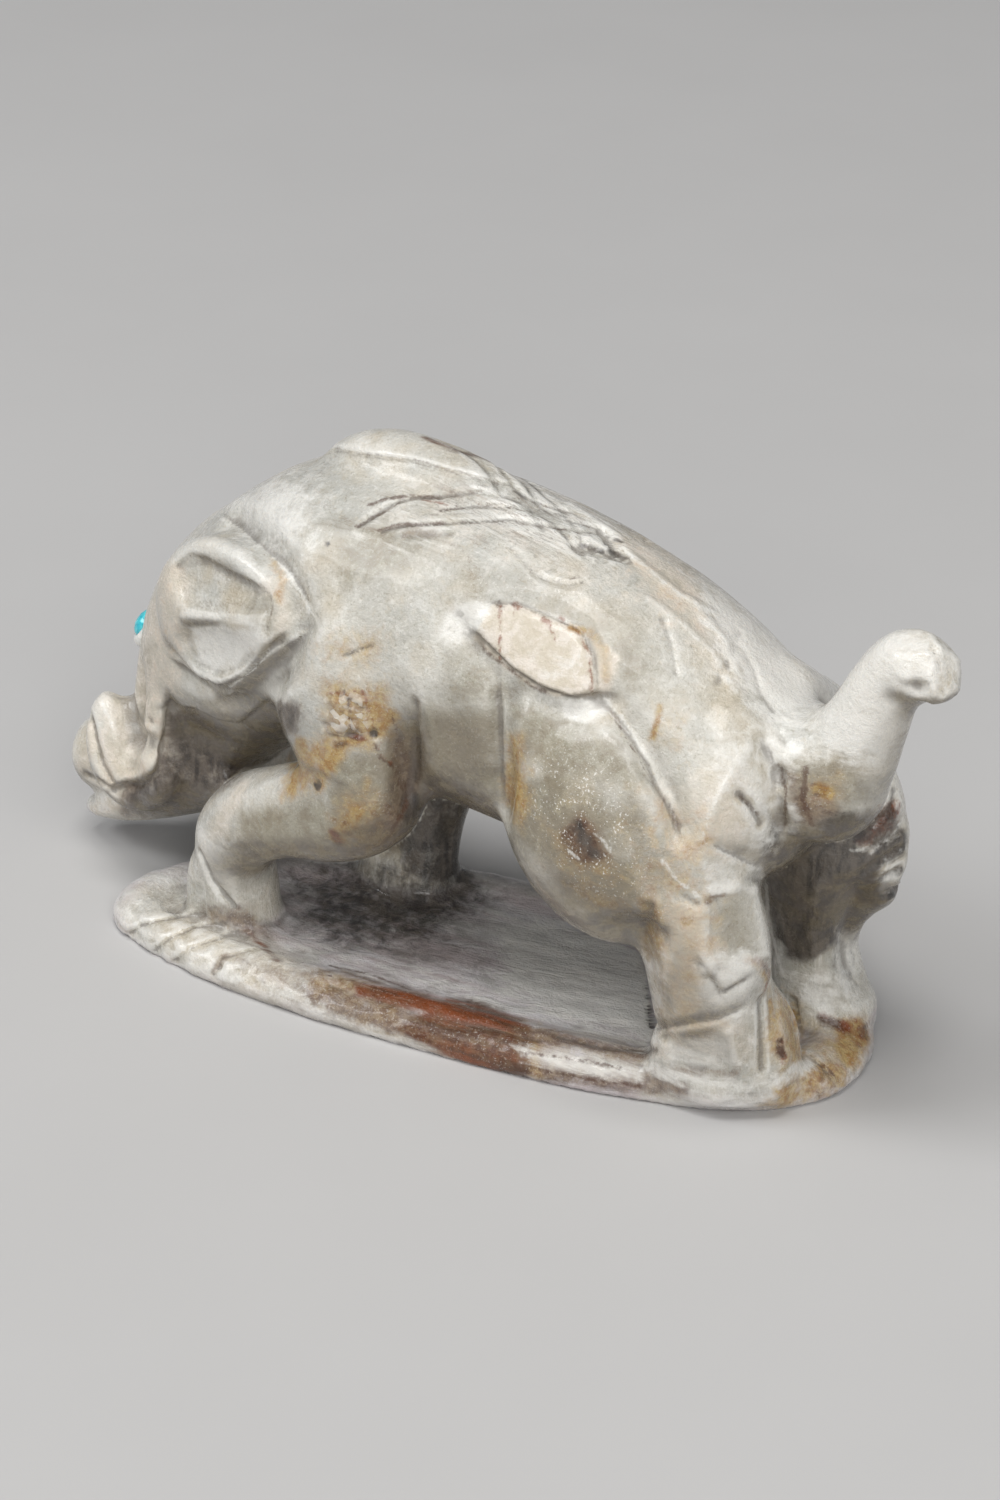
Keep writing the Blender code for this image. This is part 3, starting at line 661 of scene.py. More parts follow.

# strokes on both sides
# Painted highlights among them: the pale streak and the pale line on the tusk and the pale line along the
# collar behind the ear; the other pale lines are partly wear and partly painted highlight
MIRRORED_STROKES = rows("""
head:
  ochre 272,560 284,580 278,600  0.8 0.5
  pale 131,692 134,712 136,730  0.7 0.7
  warm 82,770 92,745 88,722  1.8 0.6
  warm 84,812 105,806 118,800  1.6 0.7
  crack 248,581 262,585 270,594 273,606 270,624  0.45 0.7
  wear 102,702 108,716 115,732  0.47 0.9
  wear 260,544 276,557 288,572 304,596 309,612  0.55 1
neck and shoulder:
  crack 343,656 357,651 373,645  0.4 0.75
  crack 352,663 364,658 376,650  0.38 0.7
back:
  umber 407,533 427,535 447,534  0.9 0.5
  soot 582,546 592,549 602,552  0.45 0.8
  soot 611,552 618,556 626,558  0.7 0.7
  soot 615,540 622,542  0.35 0.8
  soot 515,492 528,500 540,505  0.4 0.6
  soot 488,489 493,490  0.5 0.5
  soot 540,510 552,513 565,517  0.35 0.7
  crack 357,527 372,518 385,512 402,502  0.5 1
  crack 370,505 385,499 405,496 440,498  0.55 1
  crack 442,511 452,510 462,509  0.52 1
  crack 380,530 400,525 422,525 445,524  0.52 1
  crack 460,522 477,524 500,522 530,525 565,530 600,538  0.5 0.8
  crack 450,492 480,492 520,499 560,511 590,528  0.47 0.75
  crack 430,515 470,513 510,513 545,518  0.45 0.7
  crack 470,503 500,506 530,512  0.45 0.75
  crack 510,550 524,566 537,577 552,582 566,580 585,575  0.45 0.7
  crack 335,448 370,455 415,460 460,472 500,484  0.5 0.7
  vein 422,500 436,502 450,505  0.45 0.9
flank and belly:
  ochre 572,628 582,631  0.6 1
  ochre 590,632 604,650 606,676  0.8 0.5
  crack 499,604 502,606  0.7 1.1
  crack 479,643 494,658 508,668 528,684 548,694  0.55 0.9
  crack 490,604 516,604 544,617 578,629  0.5 0.7
  vein 500,606 500,632 500,658  0.45 0.9
  vein 514,608 513,624  0.42 0.7
  vein 548,622 556,642  0.45 0.8
  vein 578,632 590,654 592,692  0.47 0.9
  vein 586,672 590,692  0.42 0.7
  vein 515,605 519,607  0.64 1.1
  vein 545,620 548,622  0.71 1.1
  vein 560,619 562,620  0.64 1
haunch:
  soot 578,828 588,846 594,852  1.1 0.8
  crack 612,712 630,745 652,780 668,803 678,826  0.45 0.85
  wear 596,834 604,842 610,850  0.45 1.1
  wear 568,850 578,858  0.4 1
  wear 604,699 620,716 634,738 648,760  0.71 0.95
""")

# washes on the left side alone: mask, outline, soft pixels, strength
# Several washes paint light and shade rather than the stone's colour: the dark ones under the forearm and
# elbow, on the crease of the hock, over the far legs and on the plinth beneath the body are painted shade,
# and the large pale ones on the plinth's floor under the belly and between the hind leg and the tail are
# painted light
WASHES = rows("""
neck and shoulder:
  ochre 325,680 385,690 395,735 372,750 340,748 312,790 285,795 290,760 325,735  20 0.95
  pale 330,696 345,690 366,700 368,732 346,738 326,728  10 0.35
  crystal 330,696 345,690 366,700 368,732 346,738 326,728  10 0.9
forelegs:
  ochre 335,790 378,788 392,830 360,848 330,842  18 0.55
  umber 330,815 380,812 386,846 340,850  14 0.5
  umber 195,905 250,905 275,940 240,940 215,925  14 0.9
  umber 388,728 424,735 424,800 398,846 355,848 388,800  18 1
  pale 200,830 240,850 235,895 205,880  16 1
  cool 384,728 424,730 424,800 398,848 345,850 382,805  20 1.2
  cool 235,812 300,795 400,800 405,840 300,856 235,852  24 0.85
  cool 330,756 405,742 408,800 380,845 326,810  24 1
  soot 398,790 472,790 478,880 462,894 400,880  14 0.85
haunch:
  ochre 508,766 521,769 525,796 517,814 508,805  12 1.3
  ochre 503,735 525,735 532,800 522,835 505,800  14 0.8
  umber 636,850 650,852 668,882 686,902 660,905 640,890  12 0.35
hind legs:
  ochre 638,895 664,900 666,1022 650,1030  14 0.85
  ochre 764,985 800,994 808,1064 780,1076 764,1040  12 0.7
  ochre 630,790 720,810 730,900 720,1060 645,1050 630,900  30 0.42
  rust 852,1020 868,1022 868,1040 858,1046  10 0.8
  rust 850,842 872,818 892,798 900,812 888,832 866,846  10 1.1
  pale 700,955 760,950 760,1010 735,1024 700,1010  16 0.9
  pale 784,972 830,970 856,1012 808,1016  14 0.7
  pale 752,700 800,690 795,760 775,850 765,880 745,870 750,780  24 0.7
  pale 661,1040 732,1028 741,1064 700,1074 665,1064  12 0.7
  pale 882,860 900,852 903,880 888,890 880,888  8 0.6
  pale 838,930 862,925 868,950 856,975 868,1008 840,1000 832,975  12 0.8
  pale 655,1030 740,1016 757,1040 750,1066 690,1076 660,1060  14 0.25
  pale 700,862 722,856 745,868 728,892 704,896  12 0.6
  warm 660,780 740,760 760,850 700,880 650,860  30 0.45
  warm 668,900 706,908 706,1015 674,1020  12 0.8
  warm 640,870 700,900 750,1000 750,1066 645,1060 640,940  24 0.5
  cool 800,900 880,880 880,930 850,960 860,1000 820,1010 790,990  20 0.4
  cool 712,904 745,890 758,950 742,966 712,960  20 0.5
  cool 636,898 664,900 669,1022 650,1036  10 0.8
  soot 855,826 900,804 905,856 876,860  14 0.7
  soot 764,806 786,828 782,862 764,850  12 0.7
  soot 762,842 848,842 872,852 884,846 903,832 906,843 892,853 879,860 876,880 884,900 872,918 856,930
    842,940 826,950 806,960 788,955 776,935 768,900  12 1.3
  soot 836,945 842,950 836,972 830,968  6 0.6
  speck 640,900 668,900 672,1030 652,1034  10 0.9
tail:
  ochre 800,775 842,765 850,800 826,816 800,806  12 0.4
  ochre 840,650 910,650 905,740 850,760  24 0.2
  rust 806,782 838,770 842,800 822,812 804,804  16 0.3
  umber 782,764 800,778 812,800 842,806 836,818 815,830 790,826  12 0.9
  warm 835,640 930,640 950,690 905,740 850,760  24 0.55
  cool 775,760 850,755 870,800 835,835 780,830  20 0.7
  soot 815,818 872,810 884,850 820,845  14 0.9
plinth:
  ochre 780,1080 812,1055 862,1050 846,1090 790,1112 760,1110  14 0.75
  ochre 832,1018 864,1016 872,1040 854,1074 834,1068  12 0.95
  ochre 320,990 400,1012 420,1040 350,1018  16 0.5
  ochre 440,1006 650,1045 650,1082 540,1084 440,1056  16 0.5
  ochre 112,906 150,880 240,930 300,965 300,990 180,965 127,940  20 0.12
  ochre 470,1020 545,1036 545,1080 460,1060  14 1
  ochre 800,1020 866,1016 868,1050 850,1080 808,1060  14 0.5
  ochre 310,970 345,972 410,996 400,1020 350,1010 310,1000  12 0.6
  rust 810,1062 842,1064 846,1080 822,1104 806,1104  14 0.4
  rust 447,1001 475,1003 528,1028 526,1080 490,1072 440,1050 398,1028 428,1012  12 1.7
  rust 355,984 403,990 450,1002 432,1016 395,1005 355,997  8 1.1
  umber 305,984 360,994 413,1010 444,1050 400,1038 340,1016 305,998  10 1.1
  umber 513,1022 560,1030 653,1048 650,1062 590,1052 513,1044  10 1
  umber 540,1060 640,1074 690,1080 690,1098 640,1094 540,1082  8 0.9
  umber 290,975 440,1016 560,1046 560,1080 440,1056 290,1004  16 0.75
  umber 236,948 300,966 330,985 320,1004 262,986 232,968  16 0.55
  umber 560,1050 650,1062 740,1068 740,1080 640,1078 560,1066  10 0.8
  umber 300,966 360,975 430,1005 425,1028 360,1005 300,985  14 0.5
  pale 500,925 570,925 655,965 655,1044 560,1014 510,985  36 1.4
  pale 513,1048 560,1047 647,1066 645,1084 580,1076 520,1062  10 0.8
  pale 285,936 340,946 420,968 520,993 640,1026 640,1042 520,1012 420,990 330,965 285,955  16 0.5
  cool 150,958 300,1008 440,1058 430,1068 280,1018 150,968  10 0.5
  soot 290,868 400,860 470,872 500,900 430,945 340,950 296,916  40 0.8
  speck 390,990 500,1006 655,1040 655,1064 500,1070 420,1040  16 0.3
  speck 470,880 650,960 650,1030 450,990  30 0.7
  clear 112,906 150,880 200,880 228,912 262,935 300,965 350,990 400,1015 470,1062 440,1062 300,1012 180,972
    127,945  16 0.95
  clear 640,1050 680,1066 760,1080 800,1062 870,1020 860,1075 790,1112 640,1100  14 0.8
""")

# washes on both sides
# Several washes paint light and shade rather than the stone's colour: the dark ones under the jaw, behind
# the ear, on the belly and low on the haunch are painted shade; the pale patch with crystals in front of the
# lens, the pale patch below the lens and the pale one on the rump are painted highlights; the pale ones on
# the rump's top, the tail and the ear's lower hollow are painted light
MIRRORED_WASHES = rows("""
head:
  ochre 150,560 185,560 180,760 110,820 90,780 140,740  20 0.22
  umber 168,710 196,708 220,722 240,730 256,712 280,700 302,704 300,732 272,745 236,782 180,814 118,818
    121,784 152,772 166,745  10 0.85
  pale 100,784 119,788 120,806 100,816 86,808  10 0.6
  pale 190,628 262,626 264,642 242,662 220,674 200,664  12 1
  pale 270,640 290,645 285,680 240,690 250,660  16 0.7
  warm 250,590 285,560 300,600 285,640 268,650 272,610  14 0.4
  warm 150,560 190,560 180,760 110,820 84,780 100,700  20 0.5
  cool 225,580 275,585 300,620 270,650 235,612  20 0.35
  cool 138,645 158,640 158,720 140,724  10 0.6
  soot 166,712 196,708 218,720 240,728 256,712 280,700 302,704 300,732 270,745 234,782 180,812 124,816
    122,790 152,776 164,750  12 0.68
neck and shoulder:
  ochre 310,640 376,624 396,640 374,668 330,672  18 0.5
  umber 250,700 300,644 306,650 284,680 262,706  12 0.3
  pale 215,490 270,470 320,490 300,550 250,540  30 0.9
  cool 320,520 430,530 440,590 330,590  30 0.55
  cool 310,560 420,540 440,640 400,690 330,680  44 0.22
back:
  ochre 600,530 700,580 800,660 830,690 760,680 640,610  30 0.26
  pale 510,470 560,490 620,530 610,545 540,510  20 0.7
  pale 700,575 770,620 840,690 790,740 740,690 700,620  30 1
  warm 400,470 480,480 640,560 780,660 800,690 640,620 480,560 380,520  40 0.3
  warm 600,510 700,570 840,680 820,710 740,690 640,600  30 0.55
  hair 345,528 380,496 440,476 520,484 620,515 650,545 620,562 520,552 440,550 370,550  24 1
  crystal 532,555 560,556 570,572 556,582 537,576  10 0.6
flank and belly:
  umber 432,708 496,712 500,760 480,780 436,775  26 0.4
  pale 440,632 455,607 478,600 490,608 472,634 450,642  12 1.3
  pale 562,700 610,699 608,712 588,724 566,716  8 1.3
  pale 520,645 560,640 588,652 584,672 545,680  16 0.45
  warm 474,638 492,606 516,605 546,619 580,630 590,652 594,694 555,695 526,682 500,662  6 1.2
  warm 594,640 620,656 610,690 596,692  10 0.8
  cool 440,560 560,560 600,620 500,600 450,600  30 0.35
  cool 590,600 640,610 670,690 640,720 600,680  30 0.5
  cool 450,655 480,650 525,690 500,712 435,712  26 0.6
  cool 415,712 500,706 500,790 420,800  30 1
  crystal 440,632 455,607 478,600 490,608 472,634 450,642  12 0.3
  speck 430,560 640,590 640,620 480,600  30 0.6
haunch:
  ochre 648,705 690,712 697,745 680,760 650,745  20 0.35
  ochre 540,760 600,770 645,820 640,880 580,880 535,830  40 0.2
  ochre 560,880 620,900 650,915 600,915  14 0.6
  ochre 530,810 610,850 650,900 560,880  24 0.5
  rust 566,830 584,820 598,838 600,860 582,860 570,848  12 1.1
  umber 560,828 580,812 600,830 610,862 584,868 564,850  16 1.1
  umber 600,780 612,790 640,820 632,830 606,806  14 0.3
  umber 540,862 600,880 655,905 620,915 560,895  20 0.55
  pale 700,745 760,728 756,775 715,805  24 0.6
  cool 505,785 560,775 590,850 570,880 520,840  26 1.2
  cool 508,702 560,716 625,740 650,790 560,780 512,760  26 0.75
  cool 520,730 600,770 650,800 700,860 665,905 600,905 545,855 515,790  50 0.55
  cool 545,840 640,860 650,910 600,914 555,885  34 1.2
  speck 530,750 610,760 650,830 640,900 570,890 525,820  30 1
tail:
  pale 790,640 900,620 960,660 930,710 880,770 820,750  30 1
  cool 884,640 905,630 932,636 938,660 915,678 890,674  14 0.35
""")


# the masks, three to a layer of the mesh
LAYERS = (("ochre", "rust", "umberandshade"), ("paleandhighlight", "warm", "coolandshade"), ("hair", "crystal", "shade"),
          ("plinth", "glue", "sootandshade"), ("under", "limb", "speck"), ("crack", "vein", "wearandhighlight"))
FAR_SIDE = 0.55  # strength of the strokes repeated on the right
FAR_TURN = (0.1, 0.3)  # how far a vertex turns right to be painted there, and to be so in full
FAR_OFFSET = 1.0  # and how far it lies from the middle
CREASES = ((4, 8.0), (16, 1.2))  # rounds of averaging and weight, for fine hollows and broad ones; hollows get painted shade, ridges a painted highlight
PLINTH_TOP, PLINTH_FADE = 3.1, 0.9
LIMB_TOP, LIMB_FADE = 15, 4
BELOW_TURN, BELOW_SHARPNESS = 0.1, 1.7  # how far down a surface faces before it gets painted shade
BELOW_FROM, BELOW_FADE = 4, 3  # and the height where that starts
SPECKS = 0.25  # white dust everywhere
# x and height of the body's axis, which the hair runs along
BODY_AXIS = ((-30, 27), (-15, 25), (0, 22), (20, 17), (32, 14))
BODY_RADIUS = 12.0


def cavity(skin, rounds):
    """How far each vertex lies below the average of its surroundings, in millimetres."""
    mean = averager(edge_ends(skin.mesh), len(skin.spots))
    spots = skin.spots
    for _ in range(rounds):
        spots = 0.5 * spots + 0.5 * mean(spots)
    return ((spots - skin.spots) * skin.normals).sum(axis=1)


def lay_strokes(skin, masks, strokes, mirrored):
    for name, path, reach, strength in strokes:
        runs = skin.line(path)
        for lines, share in ((runs, 1), (skin.across(runs), FAR_SIDE))[:1 + mirrored]:
            value = np.clip(1 - skin.distance(lines, reach)[0] / reach, 0, 1)
            if name not in LAYERS[-1]:
                value = smooth(value)
            masks[name] = np.maximum(masks[name], value * strength * share)


def lay_washes(skin, masks, washes):
    for name, outline, soft, strength in washes:
        masks[name] = np.maximum(masks[name], skin.inside(outline, soft) * strength)


def paint(skin):
    """The stone's masks, one value for each vertex."""
    masks = {name: np.zeros(len(skin.spots)) for name in ("clear",) + sum(LAYERS, ())}
    lay_strokes(skin, masks, STROKES, False)
    lay_strokes(skin, masks, MIRRORED_STROKES, True)
    lay_washes(skin, masks, WASHES)
    lay_washes(skin, masks, MIRRORED_WASHES)
    skin.pixels = to_pixels(skin.spots * MIRROR)
    right = skin.normals[:, 1]
    skin.seen = (right > FAR_TURN[0]) * (skin.spots[:, 1] > FAR_OFFSET) * smooth(right / FAR_TURN[1])
    lay_washes(skin, masks, MIRRORED_WASHES)

    # painted shade in the hollows and painted highlight on the ridges, from how far each vertex lies below
    # its surroundings
    shade = 0.5
    for rounds, weight in CREASES:
        shade = shade + cavity(skin, rounds) * weight
    masks["shade"] = shade
    height = skin.spots[:, 2]
    masks["plinth"] = smooth((PLINTH_TOP - height) / PLINTH_FADE) * (1 - masks.pop("clear"))
    masks["limb"] = smooth((LIMB_TOP - height) / LIMB_FADE) * (1 - masks["plinth"])
    # painted shade on skin that faces down, fading in above the plinth
    below = smooth(BELOW_TURN - skin.normals[:, 2] * BELOW_SHARPNESS)
    masks["under"] = below * smooth((height - BELOW_FROM) / BELOW_FADE)
    masks["speck"] = np.maximum(masks["speck"], SPECKS)
    return masks


def store_masks(mesh, masks, beds):
    """Write the masks as colour layers; the last vertices are the beds of glue."""
    for name in masks:
        masks[name] = np.concatenate([masks[name], np.full(beds, float(name == "glue"))])
    for number, layer in enumerate(LAYERS):
        colours = np.ones((len(mesh.vertices), 4))
        for k, name in enumerate(layer):
            colours[:, k] = np.clip(masks[name], 0, 1)
        attribute = mesh.color_attributes.new("tint_%d" % number, "FLOAT_COLOR", "POINT")
        attribute.data.foreach_set("color", colours.ravel())


def store_flow(mesh):
    """Coordinates along and around the body, which the carved hair follows."""
    x, y, z = vertex_spots(mesh).T
    around = np.arctan2(y, z - np.interp(x, *zip(*BODY_AXIS))) * BODY_RADIUS
    flow = np.stack([x, around, np.zeros(len(x))], axis=1)
    mesh.attributes.new("flow", "FLOAT_VECTOR", "POINT").data.foreach_set("vector", flow.ravel())


# Materials

def colour(red, green, blue):
    """A display colour, 0 to 255, as the shader's linear one."""
    return tuple((c / 255 / 12.92 if c < 10 else ((c / 255 + 0.055) / 1.055) ** 2.4)
                 for c in (red, green, blue)) + (1.0,)


CREAM = colour(207, 204, 195)
ASH = colour(188, 187, 180)
SAND = colour(194, 180, 154)
GREEN_GREY = colour(142, 135, 114)
PEACH = colour(208, 197, 178)
CHALK = colour(233, 231, 225)
ROSE = colour(224, 214, 201)
DUSK = colour(122, 110, 86)
OCHRE = colour(156, 112, 40)
HONEY = colour(184, 156, 98)
RUST = colour(126, 66, 32)
UMBER = colour(82, 54, 36)
BARK = colour(120, 98, 76)
SOOT = colour(42, 37, 34)
SMOKE = colour(92, 84, 76)
SLATE = colour(220, 216, 218)
MAUVE = colour(190, 178, 180)
TURQUOISE = colour(46, 176, 196)
PALE_TURQUOISE = colour(96, 214, 222)
DARK_TURQUOISE = colour(30, 120, 140)
FLOOR_TONES = colour(186, 185, 184), colour(192, 191, 190)
MASK_EDGE = (0.02, 0.2)  # where the mask of a stain or of painted shade begins and is whole
LINE_TONES = ((UMBER, 0.75), (RUST, 0.75), (CHALK, 0.7))  # tone and strength of the painted lines


class Nodes:
    """Short calls for the nodes of one material."""

    def __init__(self, name):
        self.material = bpy.data.materials.new(name)
        self.material.use_nodes = True
        self.tree = self.material.node_tree
        self.place = self.tree.nodes.new("ShaderNodeTexCoord").outputs["Object"]

    def fill(self, node, inputs):
        """Link or set the inputs of a node."""
        for key, value in inputs.items():
            if hasattr(value, "links"):
                self.tree.links.new(value, node.inputs[key])
            else:
                node.inputs[key].default_value = value

    def finish(self, inputs):
        self.fill(self.tree.nodes["Principled BSDF"], inputs)
        return self.material

    def node(self, kind, inputs, **settings):
        made = self.tree.nodes.new("ShaderNode" + kind)
        for key, value in settings.items():
            setattr(made, key, value)
        self.fill(made, inputs)
        return made

    def stretched(self, x, y, z, turn):
        """The object's coordinates scaled along three axes after a turn about the vertical."""
        turned = self.node("Mapping", {"Vector": self.place, "Rotation": (0, 0, turn)}).outputs[0]
        return self.node("Mapping", {"Vector": turned, "Scale": (x, y, z)}).outputs[0]

    def turned(self, turn):
        return self.stretched(1, 1, 1, turn)

    def noise(self, scale, detail=3.0, rough=0.55, place=None, distortion=0.0):
        return self.node("TexNoise", {"Vector": place or self.place, "Scale": scale, "Detail": detail,
                                      "Roughness": rough, "Distortion": distortion}).outputs["Fac"]

    def span(self, value, low, high, top=1.0, bottom=0.0):
        """A value's way from low to high, as a smooth step from bottom to top."""
        return self.node("MapRange", {"Value": value, "From Min": low, "From Max": high,
                                      "To Min": bottom, "To Max": top},
                         interpolation_type="SMOOTHSTEP").outputs["Result"]

    def maths(self, operation, first, second=0.0, clamp=False):
        return self.node("Math", {0: first, 1: second}, operation=operation, use_clamp=clamp).outputs[0]

    def times(self, first, second):
        return self.maths("MULTIPLY", first, second)

    def shifted(self, value, grain, amount):
        """A value moved up and down by a grain."""
        return self.maths("ADD", value, self.times(self.maths("SUBTRACT", grain, 0.5), amount))

    def mix(self, share, first, second):
        return self.node("Mix", {0: share, 6: first, 7: second}, data_type="RGBA").outputs[2]

    def blend(self, field, low, high, first, second):
        return self.mix(self.span(field, low, high), first, second)

    def coats(self, base, *rows, over=None):
        """Tones laid on in turn, each where its noise goes from low to high, all of them over a mask."""
        for field, low, high, strength, tone in rows:
            share = self.span(field, low, high, strength)
            base = self.mix(share if over is None else self.times(share, over), base, tone)
        return base

    def line(self, value, width, strength):
        """Thin lines where a noise passes its middle."""
        return self.span(self.maths("ABSOLUTE", self.maths("SUBTRACT", value, 0.5)), width, 0.0, strength)

    def ragged(self, mask, grain, amount, low, high, strength):
        """A mask whose soft edge is broken up by a grain."""
        return self.times(self.span(self.shifted(mask, grain, amount), low, high, strength),
                          self.span(mask, *MASK_EDGE))

    def stains_and_shade(self, base, *stains_and_shade):
        """Two-toned stains and painted shade laid on in turn, each within its ragged mask."""
        for mask, grain, amount, low, high, strength, field, start, end, first, second in stains_and_shade:
            tone = self.blend(field, start, end, first, second)
            base = self.mix(self.ragged(mask, grain, amount, low, high, strength), base, tone)
        return base

    def separate(self, value):
        return self.node("SeparateColor", {"Color": value}).outputs

    def masks(self):
        """The painted masks, in the order of LAYERS."""
        out = []
        for number in range(len(LAYERS)):
            out += self.separate(self.node("VertexColor", {}, layer_name="tint_%d" % number).outputs[0])
        return out

    def bumps(self, *rows):
        """Bumps laid on each other: height and how far it stands out, in metres."""
        normal = None
        for height, distance in rows:
            inputs = {"Height": height, "Distance": distance, "Strength": 1.0}
            if normal is not None:
                inputs["Normal"] = normal
            normal = self.node("Bump", inputs).outputs[0]
        return normal


def stone_material():
    n = Nodes("polished_stone")
    (ochre, rust, umberandshade, paleandhighlight, warm, coolandshade, hair, crystal, shade, plinth, glue, sootandshade,
     under, limb, speck, *lines) = n.masks()

    # noises, from coarse to fine: scale, detail, roughness
    cloud = n.noise(90, 4, 0.6)
    sandy = n.noise(140, 3, 0.55, n.turned(1.1))
    peachy = n.noise(190, 3, 0.55, n.turned(2.3))
    drift = n.noise(230, 5, 0.62, distortion=0.8)
    mottle = n.noise(760, 6, 0.68, distortion=0.4)
    fleck = n.noise(1700, 5, 0.7)
    grain = n.noise(3600, 4, 0.7)
    dust = n.noise(6000, 2, 0.6, n.turned(1.7))

    # noises drawn out along the body, the plinth or the legs
    flow = n.node("Attribute", {}, attribute_name="flow").outputs["Vector"]
    flow = n.node("Mapping", {"Vector": flow, "Scale": (0.13, 1.0, 1.0)}).outputs[0]
    along = n.stretched(0.12, 1.0, 1.0, -0.1)
    hairs = n.noise(1.5, 4, 0.65, flow, 0.35)
    locks = n.noise(0.45, 4, 0.6, flow, 0.6)
    strands = n.noise(1600, 4, 0.65, along, 0.25)
    streaks = n.noise(620, 5, 0.65, along, 0.4)
    fibre = n.times(n.maths("ADD", mottle, strands), 0.5)
    runs = n.noise(2100, 4, 0.7, n.stretched(1.0, 1.0, 0.16, 0.3), 0.3)
    slant = n.noise(900, 4, 0.6, n.stretched(1.0, 1.0, 0.35, 0.9), 0.8)
    veil = n.noise(420, 6, 0.68, n.stretched(0.28, 1.0, 1.0, -0.32), 1.2)
    wander = n.noise(380, 6, 0.7, n.stretched(0.3, 1.0, 1.3, 0.15), 1.0)

    base = n.coats(n.blend(cloud, 0.4, 0.62, CREAM, ASH),
                   (sandy, 0.48, 0.7, 0.6, SAND), (peachy, 0.5, 0.7, 0.55, PEACH),
                   (drift, 0.45, 0.28, 0.22, GREEN_GREY), (drift, 0.55, 0.72, 0.25, CHALK),
                   (mottle, 0.52, 0.66, 0.3, CHALK), (mottle, 0.46, 0.3, 0.2, GREEN_GREY),
                   (fleck, 0.54, 0.68, 0.4, CHALK), (fleck, 0.46, 0.32, 0.3, SAND),
                   (grain, 0.46, 0.32, 0.4, GREEN_GREY), (grain, 0.56, 0.7, 0.3, CHALK))
    base = n.mix(n.times(n.line(wander, 0.01, 0.4), n.span(cloud, 0.45, 0.6)), base, BARK)
    base = n.mix(n.times(n.line(runs, 0.03, 0.3), limb), base, GREEN_GREY)
    base = n.coats(base, (runs, 0.56, 0.68, 0.55, CHALK), over=limb)

    # painted highlight on the ridges
    base = n.coats(base, (shade, 0.46, 0.1, 0.65, CHALK))

    # the plinth's grey, white and brown streaks
    slab = n.coats(n.blend(streaks, 0.38, 0.62, MAUVE, SLATE),
                   (drift, 0.5, 0.32, 0.45, SMOKE), (veil, 0.5, 0.66, 0.6, ASH),
                   (strands, 0.54, 0.68, 0.3, ASH), (strands, 0.44, 0.32, 0.2, BARK),
                   (fleck, 0.56, 0.7, 0.4, CHALK))
    base = n.mix(n.times(plinth, 0.9), base, slab)

    # washes: mask, the grain that breaks its edge, amount, low, high, strength, then the wash's own tones
    # the grey-green wash is the stone's own tone in places and painted shade on the belly, under the forearm
    # and low on the haunch
    base = n.stains_and_shade(base, (coolandshade, drift, 1.2, 0.05, 0.85, 0.8, mottle, 0.4, 0.6, DUSK, GREEN_GREY),
                    (warm, mottle, 0.9, 0.1, 0.7, 0.85, mottle, 0.42, 0.58, PEACH, ROSE))

    # fine strokes along the back
    base = n.coats(base, (locks, 0.52, 0.64, 0.5, CHALK), (hairs, 0.53, 0.66, 0.6, CHALK),
                   (hairs, 0.46, 0.34, 0.4, BARK), over=hair)
    strokes = n.times(n.times(n.line(hairs, 0.012, 0.55), hair), n.span(locks, 0.46, 0.54))
    base = n.mix(strokes, base, UMBER)

    # stains, in the same order; the umber and soot ones are also painted shade under the jaw, on the belly,
    # by the elbow, over the far legs and on the plinth beneath the body
    base = n.stains_and_shade(base, (ochre, mottle, 1.7, 0.1, 1.0, 0.9, fleck, 0.4, 0.6, HONEY, OCHRE),
                    (rust, strands, 1.7, 0.15, 0.95, 1.0, streaks, 0.42, 0.58, RUST, UMBER),
                    (umberandshade, mottle, 1.7, 0.1, 1.0, 0.8, fleck, 0.4, 0.6, BARK, UMBER),
                    (sootandshade, mottle, 1.6, 0.1, 0.9, 0.95, slant, 0.4, 0.62, SOOT, SMOKE))
    # white in the stone, with painted highlights and painted light
    base = n.mix(n.ragged(paleandhighlight, fibre, 2.6, 0.15, 0.95, 0.85), base, CHALK)
    # dark cracks and veins, and pale lines that are partly wear and partly painted highlight
    for mask, (tone, strength) in zip(lines, LINE_TONES):
        broken = n.span(n.shifted(mask, fleck, 1.3), 0.5, 0.95, strength)
        base = n.mix(n.times(broken, n.span(mask, 0.3, 0.5)), base, tone)

    # crystalline grains
    grains = n.node("TexVoronoi", {"Vector": n.turned(0.4), "Scale": 1900}).outputs["Color"]
    grain_light = n.separate(grains)[0]
    base = n.coats(base, (grain_light, 0.45, 1.0, 0.7, CHALK), (grain_light, 0.35, 0.1, 0.3, BARK),
                   over=crystal)

    # white dust in pits
    dust = n.shifted(dust, mottle, 0.4)
    dusty = n.maths("SUBTRACT", speck, sootandshade, clamp=True)
    base = n.coats(base, (dust, 0.62, 0.68, 0.95, CHALK), over=dusty)

    # painted shade in the hollows
    base = n.coats(base, (shade, 0.55, 1.0, 0.55, SMOKE))
    # painted shade on skin that faces down
    base = n.mix(n.times(under, 0.8), base, n.blend(mottle, 0.4, 0.6, SMOKE, DUSK))
    base = n.mix(glue, base, CHALK)

